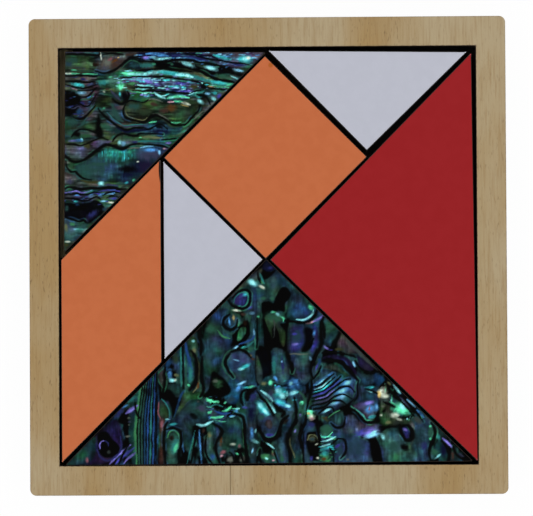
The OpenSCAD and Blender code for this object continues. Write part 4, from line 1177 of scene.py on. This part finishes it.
            (-35.4, -43)]),
        ("lilac", 0.3, [(-39.2, -43.9), (-40, -44.2), (-40.4, -45), (-40.2, -45.9)]),
        ("iris", 0.3, [(-39.2, -43.9), (-38.4, -44.4), (-38.3, -45.2)]),
        ("lilac", 0.9, [(-34, -37.5), (-31.4, -35.6)]),
        ("jade", 0.35, [(-25, -26.6), (-26.5, -28.2), (-26.3, -29.8), (-25.3, -31.4)]),
        ("jade", 0.35, [(-24.6, -27.4), (-24.2, -29.5), (-24.6, -31.6)]),
        ("blue", 0.5, [(-19.9, -31.8), (-20.9, -33.2), (-21.6, -35.5), (-22.6, -38.2)]),
        ("lagoon", 0.5, [(-20.9, -21), (-20.8, -26), (-20.9, -31)]),
        ("jade", 0.5, [(-19.7, -24), (-19.6, -31.4)]),
        ("cobalt", 0.6, [(-19.8, -20.4), (-19.2, -23.4), (-18.2, -27)]),
        ("khaki", 0.45, [(-17.2, -24), (-16.6, -26), (-16.6, -29), (-16.9, -31), (-18, -32.4)]),
        ("rust", 0.4, [(-16.8, -30.2), (-16.9, -31.6)]),
        ("lagoon", 0.3, [(-25.6, -34.2), (-24.7, -35), (-23.8, -36.8), (-23.7, -38.6)]),
        ("rose", 0.35, [(-26.2, -34.6), (-26.4, -37), (-25.8, -38.9)]),
        ("fern", 0.35, [(-24.2, -43.4), (-23.7, -42), (-22.6, -41.5), (-21.5, -42.6), (-21.2, -44.2)]),
        ("azure", 0.35, [(-20.6, -42), (-20.7, -44), (-20.3, -46.6)]),
        ("lagoon", 0.35, [(-17.6, -41.6), (-19.6, -49.6)]),
        ("azure", 0.4, [(-16.6, -41.4), (-16.1, -49.6)]),
        ("azure", 1, [(11, -31), (12.8, -30), (15.2, -28)]),
        ("foam", 0.3, [(11.4, -30.9), (12.8, -30), (14, -29)]),
        ("foam", 0.35, [(11, -32), (12.8, -31.2), (14.2, -30.2), (15, -29.4)]),
        ("aqua", 0.5, [(11, -32.6), (13.2, -31.7), (15.2, -30)]),
        ("violet", 0.5, [(10.8, -33.5), (13.4, -32.5), (15.6, -31), (17.4, -29.4)]),
        ("lilac", 0.3, [(11, -34.4), (13.6, -33.6), (15.8, -32)]),
        ("dusk", 0.4, [(10.8, -35.3), (13.6, -34.6), (15.6, -33.2)]),
    ],
    "films": [
        (0.26, [(-2.4, -4), (-2.3, -5.3), (-1.8, -6.4)]),
        (0.42, [(11.6, -13), (11, -14.6), (9.6, -15.8), (7.5, -16), (4, -15.5)]),
        (0.38, [(-9.4, -10.6), (-8.2, -12), (-6, -12.5), (-4.6, -11.7), (-4.3, -10), (-4.6, -8.6),
            (-5.8, -8.1), (-7.1, -8.7), (-8.4, -9.9)]),
        (0.42, [(-9.1, -13.9), (-10.3, -14.9), (-10.7, -16), (-10, -17.1), (-8.8, -17.5), (-7.6, -16.8),
            (-7.3, -15.2)]),
        (0.25, [(-2.5, -14.8), (-2.8, -22)]),
        (0.68, [(-16.2, -16.6), (-16.4, -19), (-16, -21), (-16.1, -23.6)]),
        (0.42, [(-9.2, -23.5), (-10.2, -25), (-10, -26.7), (-8.4, -29)]),
        (0.34, [(-9, -23), (-7, -22.4), (-5.2, -23.1), (-4.2, -24.2)]),
        (0.59, [(4.3, -22.6), (4.9, -24.6), (5.6, -26.2), (5.6, -27.8)]),
        (0.51, [(13.2, -14.8), (12.5, -16.6), (12.8, -20), (12.4, -22), (10.3, -26.6), (10.6, -29.4)]),
        (0.42, [(12.9, -15.6), (13.4, -19.6)]),
        (0.51, [(17.6, -17.4), (16.8, -19.4), (15.8, -20.6), (15.2, -22)]),
        (0.3, [(12.9, -23.3), (15, -23), (19.6, -23.8), (20.8, -24.4)]),
        (0.77, [(13.2, -25), (15, -25), (17, -25.4), (18.6, -26.6), (21.2, -29.6)]),
        (0.42, [(20.8, -25.2), (22, -27), (24, -28.1), (25.8, -27.6)]),
        (0.34, [(12.6, -26.4), (12, -27.8), (10.8, -29.4)]),
        (0.3, [(10.6, -31.5), (12.5, -30.7), (15.6, -28.2)]),
        (0.2, [(10.5, -32.3), (12.8, -31.6), (15.8, -29)]),
        (0.26, [(10.4, -33.1), (13.2, -32.2), (15.4, -30.7), (17.2, -28.8)]),
        (0.25, [(10.4, -34), (13.4, -33.1), (17.8, -29.9), (19.6, -29.4)]),
        (0.3, [(10.4, -34.8), (13.4, -34.1), (15.6, -32.6), (17.6, -31.4), (19.4, -31.4), (20.6, -32.6)]),
        (0.25, [(10.4, -35.8), (13.6, -35.1), (15.8, -33.6), (18, -33.2), (19.8, -34.2)]),
        (0.3, [(10.8, -36.6), (13.4, -36.1), (15.2, -34.7), (17.2, -34.7), (18.6, -35.6)]),
        (0.26, [(12, -37.6), (13.6, -36.4), (15, -36.3), (15.6, -37.2)]),
        (0.34, [(10.3, -29.6), (10.3, -32), (9, -36.6)]),
        (0.22, [(21.6, -29.8), (21.2, -31.3), (21.2, -33.4), (20.4, -34.8)]),
        (0.25, [(23.2, -31.9), (24.8, -32.4), (26, -33)]),
        (0.38, [(19.2, -36.4), (21, -37.4), (23.2, -39.8), (25, -39.8), (26.2, -38)]),
        (0.26, [(26.3, -31.6), (28.4, -29.4)]),
        (0.3, [(28.4, -31.2), (29.6, -33.2), (31.2, -34.4), (34.6, -38.4)]),
        (0.26, [(31.4, -33.4), (35.2, -37.6), (36.8, -39.8)]),
        (0.34, [(27.4, -34.9), (30, -36.2)]),
        (0.51, [(31.2, -40.6), (31.6, -42.4), (32.8, -44.2), (34, -43.8), (34.2, -42), (33.2, -40.6)]),
        (0.42, [(38.8, -40), (39.6, -41.6), (39.5, -43.4), (38.2, -46.6), (38.7, -49.4)]),
        (0.42, [(41.2, -44.4), (42.6, -46), (43, -48), (42.7, -49.5)]),
        (0.42, [(44, -45.8), (44.6, -47.5), (46.2, -48.8), (48, -49.4)]),
        (0.34, [(18.2, -38.8), (17.8, -40.6), (16.2, -41.1), (14.8, -40)]),
        (0.34, [(12, -40), (11.9, -42), (12.2, -43.8)]),
        (0.34, [(15.4, -44.6), (16.6, -43.7), (17.9, -43.9), (18.4, -45.4), (18.2, -47), (17, -48.4)]),
        (0.26, [(14.4, -45.8), (15.3, -47.4), (15.4, -49.4)]),
        (0.34, [(-5.2, -31.9), (-6.4, -32.6), (-6.6, -34.4), (-6, -35.7)]),
        (0.68, [(-3, -31.6), (-4.9, -32.8), (-5, -34.4)]),
        (0.51, [(-8, -37.6), (-6.3, -38.3), (-5.8, -40), (-5.5, -46), (-4.8, -49.5)]),
        (0.42, [(-13.2, -40.1), (-11.8, -40.9), (-11.2, -42), (-12.4, -44.4), (-12.6, -46.5),
            (-11.7, -49.5)]),
        (0.38, [(-2.8, -32.2), (-1.6, -34), (-0.5, -35), (1.2, -38)]),
        (0.59, [(1.2, -35.2), (2.6, -36.8), (3.7, -37.4), (3.2, -38.4)]),
        (0.51, [(4.6, -38.2), (3.2, -39.6), (2.2, -42.7), (0.8, -43.8), (-0.8, -43.7), (-1.7, -42.4),
            (-2.2, -41)]),
        (0.59, [(6.2, -34), (6.6, -37), (6.4, -39.6), (5, -42), (4.4, -44.4), (5.1, -47), (4.9, -49.5)]),
        (0.42, [(9, -36.8), (8.8, -39.5), (7.9, -41.6), (7.4, -43.4), (8.1, -46), (8.3, -49.5)]),
        (0.26, [(1.2, -46.4), (2.2, -49.5)]),
        (0.42, [(-2.1, -46.2), (-2.4, -47.8), (-1.9, -49.4)]),
        (0.26, [(-9.4, -46.8), (-8.6, -47.6), (-8.2, -49.4)]),
        (0.3, [(-8, -46.6), (-6.9, -47.2), (-6, -49.4)]),
        (0.34, [(-14.9, -43), (-15.2, -45.6), (-14.6, -48), (-13.6, -49.5)]),
        (0.26, [(-17.2, -41.8), (-18.6, -49.5)]),
        (0.26, [(-15.9, -42.8), (-15.8, -46), (-15.3, -49.5)]),
        (0.34, [(-35.8, -49.5), (-34.6, -46.8), (-33.4, -44.8)]),
        (0.34, [(-31.9, -35), (-31.5, -37.6), (-30.7, -38.8)]),
        (0.34, [(-24.7, -26.4), (-24.9, -28.6), (-24.8, -30.6), (-25.2, -32.2)]),
        (0.3, [(-20.4, -20.6), (-20.3, -31.6)]),
        (0.59, [(-18.2, -22.6), (-17.3, -24.6), (-17.1, -27.6), (-17.4, -30.2), (-18.8, -31.9)]),
        (0.51, [(-15.8, -24), (-16, -28), (-15.6, -32), (-16.4, -33.6)]),
        (0.42, [(-24.2, -39.6), (-24.8, -41.4), (-25, -45), (-24.6, -49.5)]),
        (0.42, [(-24.4, -41.4), (-22.8, -41), (-21.1, -41.9), (-20.9, -44.6), (-21.4, -47), (-21.3, -49.5)]),
    ],
}

# Bundle of upright stripes near the left corner, leaning and spreading downwards, with a film between each
# two: each level is a line that the stripes cross, from the first to the last
stripeBundle = {
    "colours": ["fern", "jade", "teal", "blue", "cobalt", "lagoon", "cobalt", "blue"],
    "levels": [
        [(-29.6, -27.6), (-26.6, -27.6)], [(-31.6, -39), (-26.7, -39)], [(-31.6, -49.7), (-27, -49.7)],
    ],
    "width": 0.75,
    "film": 0.2,
}


def addStripes(design, settings):
    # Stripes evenly spaced along every level, and films halfway between them
    levels = [smoothCurve(level) for level in settings["levels"]]
    count = len(settings["colours"])

    def across(share):
        return [tuple(np.interp(share * (len(level) - 1), np.arange(len(level)), axis) for axis in level.T)
                for level in levels]

    for index, colour in enumerate(settings["colours"]):
        design["streaks"].insert(index, (colour, settings["width"], across(index / (count - 1))))
        design["films"].append((settings["film"], across((index + 0.5) / (count - 1))))


addStripes(largeShell, stripeBundle)

# Deep clear gloss over the painted nacre. The dark films are drawn sharp, from just outside their edge to
# just inside it
clearCoat = {
    "filmEdge": (0.07, -0.05), "roughness": 0.35, "specular": 0.2, "coat": 1.0, "coatRoughness": 0.03,
}


def shellMaterial(name, settings):
    material, add = newMaterial(name)
    colour = add("Attribute", attribute_name="nacre")
    film = add("Attribute", attribute_name="film").outputs["Fac"]
    dark = add("MapRange", [film, *settings["filmEdge"]], interpolation_type="SMOOTHSTEP")
    shade = add("Mix", [dark, colour, linear(nacre["ink"])], data_type="RGBA")
    shader = add("BsdfPrincipled", {
        "Base Color": shade, "Roughness": settings["roughness"], "Specular IOR Level": settings["specular"],
        "Coat Weight": settings["coat"], "Coat Roughness": settings["coatRoughness"],
    })
    add("OutputMaterial", [shader])
    return material


def charredEdgeMaterial(name, settings):
    # Burnt edge of the veneer and its lacquer: dull black
    material, add = newMaterial(name)
    place, _, level = placeInMm(add)
    colour = charWalls(add, place, level, linear(settings["dark"]))
    add("OutputMaterial", [add("BsdfPrincipled", {
        "Base Color": colour, "Roughness": settings["roughness"], "Specular IOR Level": settings["specular"],
    })])
    return material


# How near in mm a point of the veneer counts as level with the face, past the eased edge, or on a side, and
# how near the cuts of the face take a point as on their line
closeness = {"face": 0.001, "ease": 0.01, "side": 0.002, "cut": 0.0005}


def outStep(place, sides):
    # Step out by one at right angles to the side that a rim point lies on, mitred where two sides meet
    onSide = closeness["side"] * mm
    touching = [outward for a, outward in sides if abs((place - a).dot(outward)) < onSide][:2]
    total = sum(touching, Vector((0, 0)))
    if len(touching) == 2:
        total = total / (1 + touching[0].dot(touching[1]))
    return total.to_3d()


def shellMesh(name, node, spacing):
    # A finely divided face inside the node's own outline, with its eased edge, wall and underside
    vertices = [v.co for v in nodes[node].data.vertices]
    low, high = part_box(node)
    face = [v.xy for v in vertices if v.z > high.z - closeness["face"] * mm]
    hull = [face[i] for i in convex_hull_2d(face)]
    ease = high.z - max(v.z for v in vertices if v.z < high.z - closeness["ease"] * mm)
    middle = (low + high) / 2
    reach = max(high.x - low.x, high.y - low.y) / 2
    bm = bmesh.new()
    steps = math.ceil(2 * reach / (spacing * mm))
    bmesh.ops.create_grid(bm, x_segments=steps, y_segments=steps, size=reach)
    bmesh.ops.translate(bm, verts=bm.verts, vec=(middle.x, middle.y, high.z))
    sides = []
    for a, b in zip(hull, hull[1:] + hull[:1]):
        along = b - a
        if along.length < closeness["side"] * mm:
            continue
        outward = Vector((along.y, -along.x)).normalized()
        sides.append((a, outward))
        bmesh.ops.bisect_plane(
            bm, geom=bm.verts[:] + bm.edges[:] + bm.faces[:], dist=closeness["cut"] * mm,
            plane_co=(a.x, a.y, high.z), plane_no=(outward.x, outward.y, 0), clear_outer=True,
        )
    for outwards, downwards in ((ease, ease), (0, high.z - low.z - ease)):
        rim = [e for e in bm.edges if e.is_boundary]
        for item in bmesh.ops.extrude_edge_only(bm, edges=rim)["geom"]:
            if isinstance(item, bmesh.types.BMFace):
                item.material_index = 1
            if isinstance(item, bmesh.types.BMVert):
                item.co += outStep(item.co.xy, sides) * outwards - Vector((0, 0, downwards))
    rim = [e for e in bm.edges if e.is_boundary]
    for item in bmesh.ops.contextual_create(bm, geom=rim)["faces"]:
        item.material_index = 1
    bmesh.ops.recalc_face_normals(bm, faces=bm.faces[:])
    mesh = bpy.data.meshes.new(name)
    bm.to_mesh(mesh)
    bm.free()
    return mesh


def shellPiece(name, node, design, materials):
    # The veneer's mesh, painted with its design, in place of the node
    mesh = shellMesh(name, node, design["settings"]["spacing"])
    places = np.zeros(len(mesh.vertices) * 3)
    mesh.vertices.foreach_get("co", places)
    paint, film = paintShell(places.reshape(-1, 3)[:, :2] / mm, design)
    rgba = np.hstack([paint, np.ones((len(paint), 1))])
    mesh.attributes.new("nacre", "FLOAT_COLOR", "POINT").data.foreach_set("color", rgba.ravel())
    mesh.attributes.new("film", "FLOAT", "POINT").data.foreach_set("value", film)
    for material in materials:
        mesh.materials.append(material)
    piece = bpy.data.objects.new(name, mesh)
    bpy.context.scene.collection.objects.link(piece)
    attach(piece, "root")
    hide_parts(node)


shellFinish = (shellMaterial("clearCoatedNacre", clearCoat), charredEdgeMaterial("charredVeneerEdge", char))
shellPiece("medium_shell_face", "medium_triangle_shell", mediumShell, shellFinish)
shellPiece("large_shell_face", "large_triangle_shell", largeShell, shellFinish)

print("stage, light and camera")

stageSettings = {"floorSize": 3000, "floorColour": "#f8f8f8", "floorDrop": 0.02, "glow": 0.97}
lampSettings = {"count": 8, "distance": 850, "height": 460, "size": 420, "power": 2.5}
# The world's light level, and what gloss sees of it: a white backdrop up to about 30 degrees above the
# horizon, and a dark ceiling above the camera
worldSettings = {"level": 0.06, "ceiling": 0.008, "backdropTop": (0.62, 0.45)}


def seenDirectly(add):
    # 1 for what the camera sees, straight or by gloss or glass
    rays = add("LightPath").outputs
    bounced = add("Math", [rays["Is Glossy Ray"], rays["Is Transmission Ray"]], operation="MAXIMUM")
    return add("Math", [rays["Is Camera Ray"], bounced], operation="MAXIMUM")


def makeFloor(settings):
    mesh = bpy.data.meshes.new("floor")
    bm = bmesh.new()
    bmesh.ops.create_grid(bm, x_segments=1, y_segments=1, size=settings["floorSize"] * mm / 2)
    bm.to_mesh(mesh)
    bm.free()
    material, add = newMaterial("palePaintedFloor")
    matt = add("BsdfDiffuse", [linear(settings["floorColour"])])
    white = add("Emission", [(1, 1, 1, 1), 1.0])
    share = add("Math", [seenDirectly(add), settings["glow"]], operation="MULTIPLY")
    add("OutputMaterial", [add("MixShader", [share, matt, white])])
    mesh.materials.append(material)
    floor = bpy.data.objects.new("floor", mesh)
    bpy.context.scene.collection.objects.link(floor)
    floor.location.z = -settings["floorDrop"] * mm


def makeWorld(settings):
    world = bpy.data.worlds.new("studio")
    bpy.context.scene.world = world
    world.use_nodes = True
    world.node_tree.nodes.clear()
    add = partial(addNode, world.node_tree)
    direction = add("SeparateXYZ", [add("TexCoord").outputs["Generated"]])
    backdrop = add("MapRange", [direction.outputs["Z"], *settings["backdropTop"], settings["ceiling"], 1.0],
                   interpolation_type="SMOOTHSTEP")
    strength = add("Mix", [seenDirectly(add), settings["level"], backdrop])
    add("OutputWorld", [add("Background", [(1, 1, 1, 1), strength])])


def makeLamps(settings):
    # Soft boxes in a ring round the tray, low enough to leave the cut gaps dark
    for index in range(settings["count"]):
        angle = math.radians((index + 0.5) * 360 / settings["count"])
        data = bpy.data.lights.new(f"softBox{index}", "AREA")
        data.size = settings["size"] * mm
        data.energy = settings["power"]
        lamp = bpy.data.objects.new(f"softBox{index}", data)
        bpy.context.scene.collection.objects.link(lamp)
        out = settings["distance"]
        lamp.location = Vector((out * math.cos(angle), out * math.sin(angle), settings["height"])) * mm
        lamp.rotation_euler = (-lamp.location).to_track_quat("-Z", "Y").to_euler()


# Camera about 380 mm above the rail, nearly straight down
cameraSettings = {
    "place": (3.46, -5.07, 386), "turn": (0.68, 0.571, -0.315), "lens": 107.49, "sensor": 36,
    "nearest": 10, "furthest": 10000,
}


def makeCamera(settings):
    data = bpy.data.cameras.new("camera")
    data.lens = settings["lens"]
    data.sensor_width = settings["sensor"]
    data.clip_start = settings["nearest"] * mm
    data.clip_end = settings["furthest"] * mm
    camera = bpy.data.objects.new("camera", data)
    bpy.context.scene.collection.objects.link(camera)
    camera.location = Vector(settings["place"]) * mm
    camera.rotation_euler = [math.radians(a) for a in settings["turn"]]
    bpy.context.scene.camera = camera


makeFloor(stageSettings)
makeWorld(worldSettings)
makeLamps(lampSettings)
makeCamera(cameraSettings)
bpy.context.scene.view_settings.view_transform = "Standard"
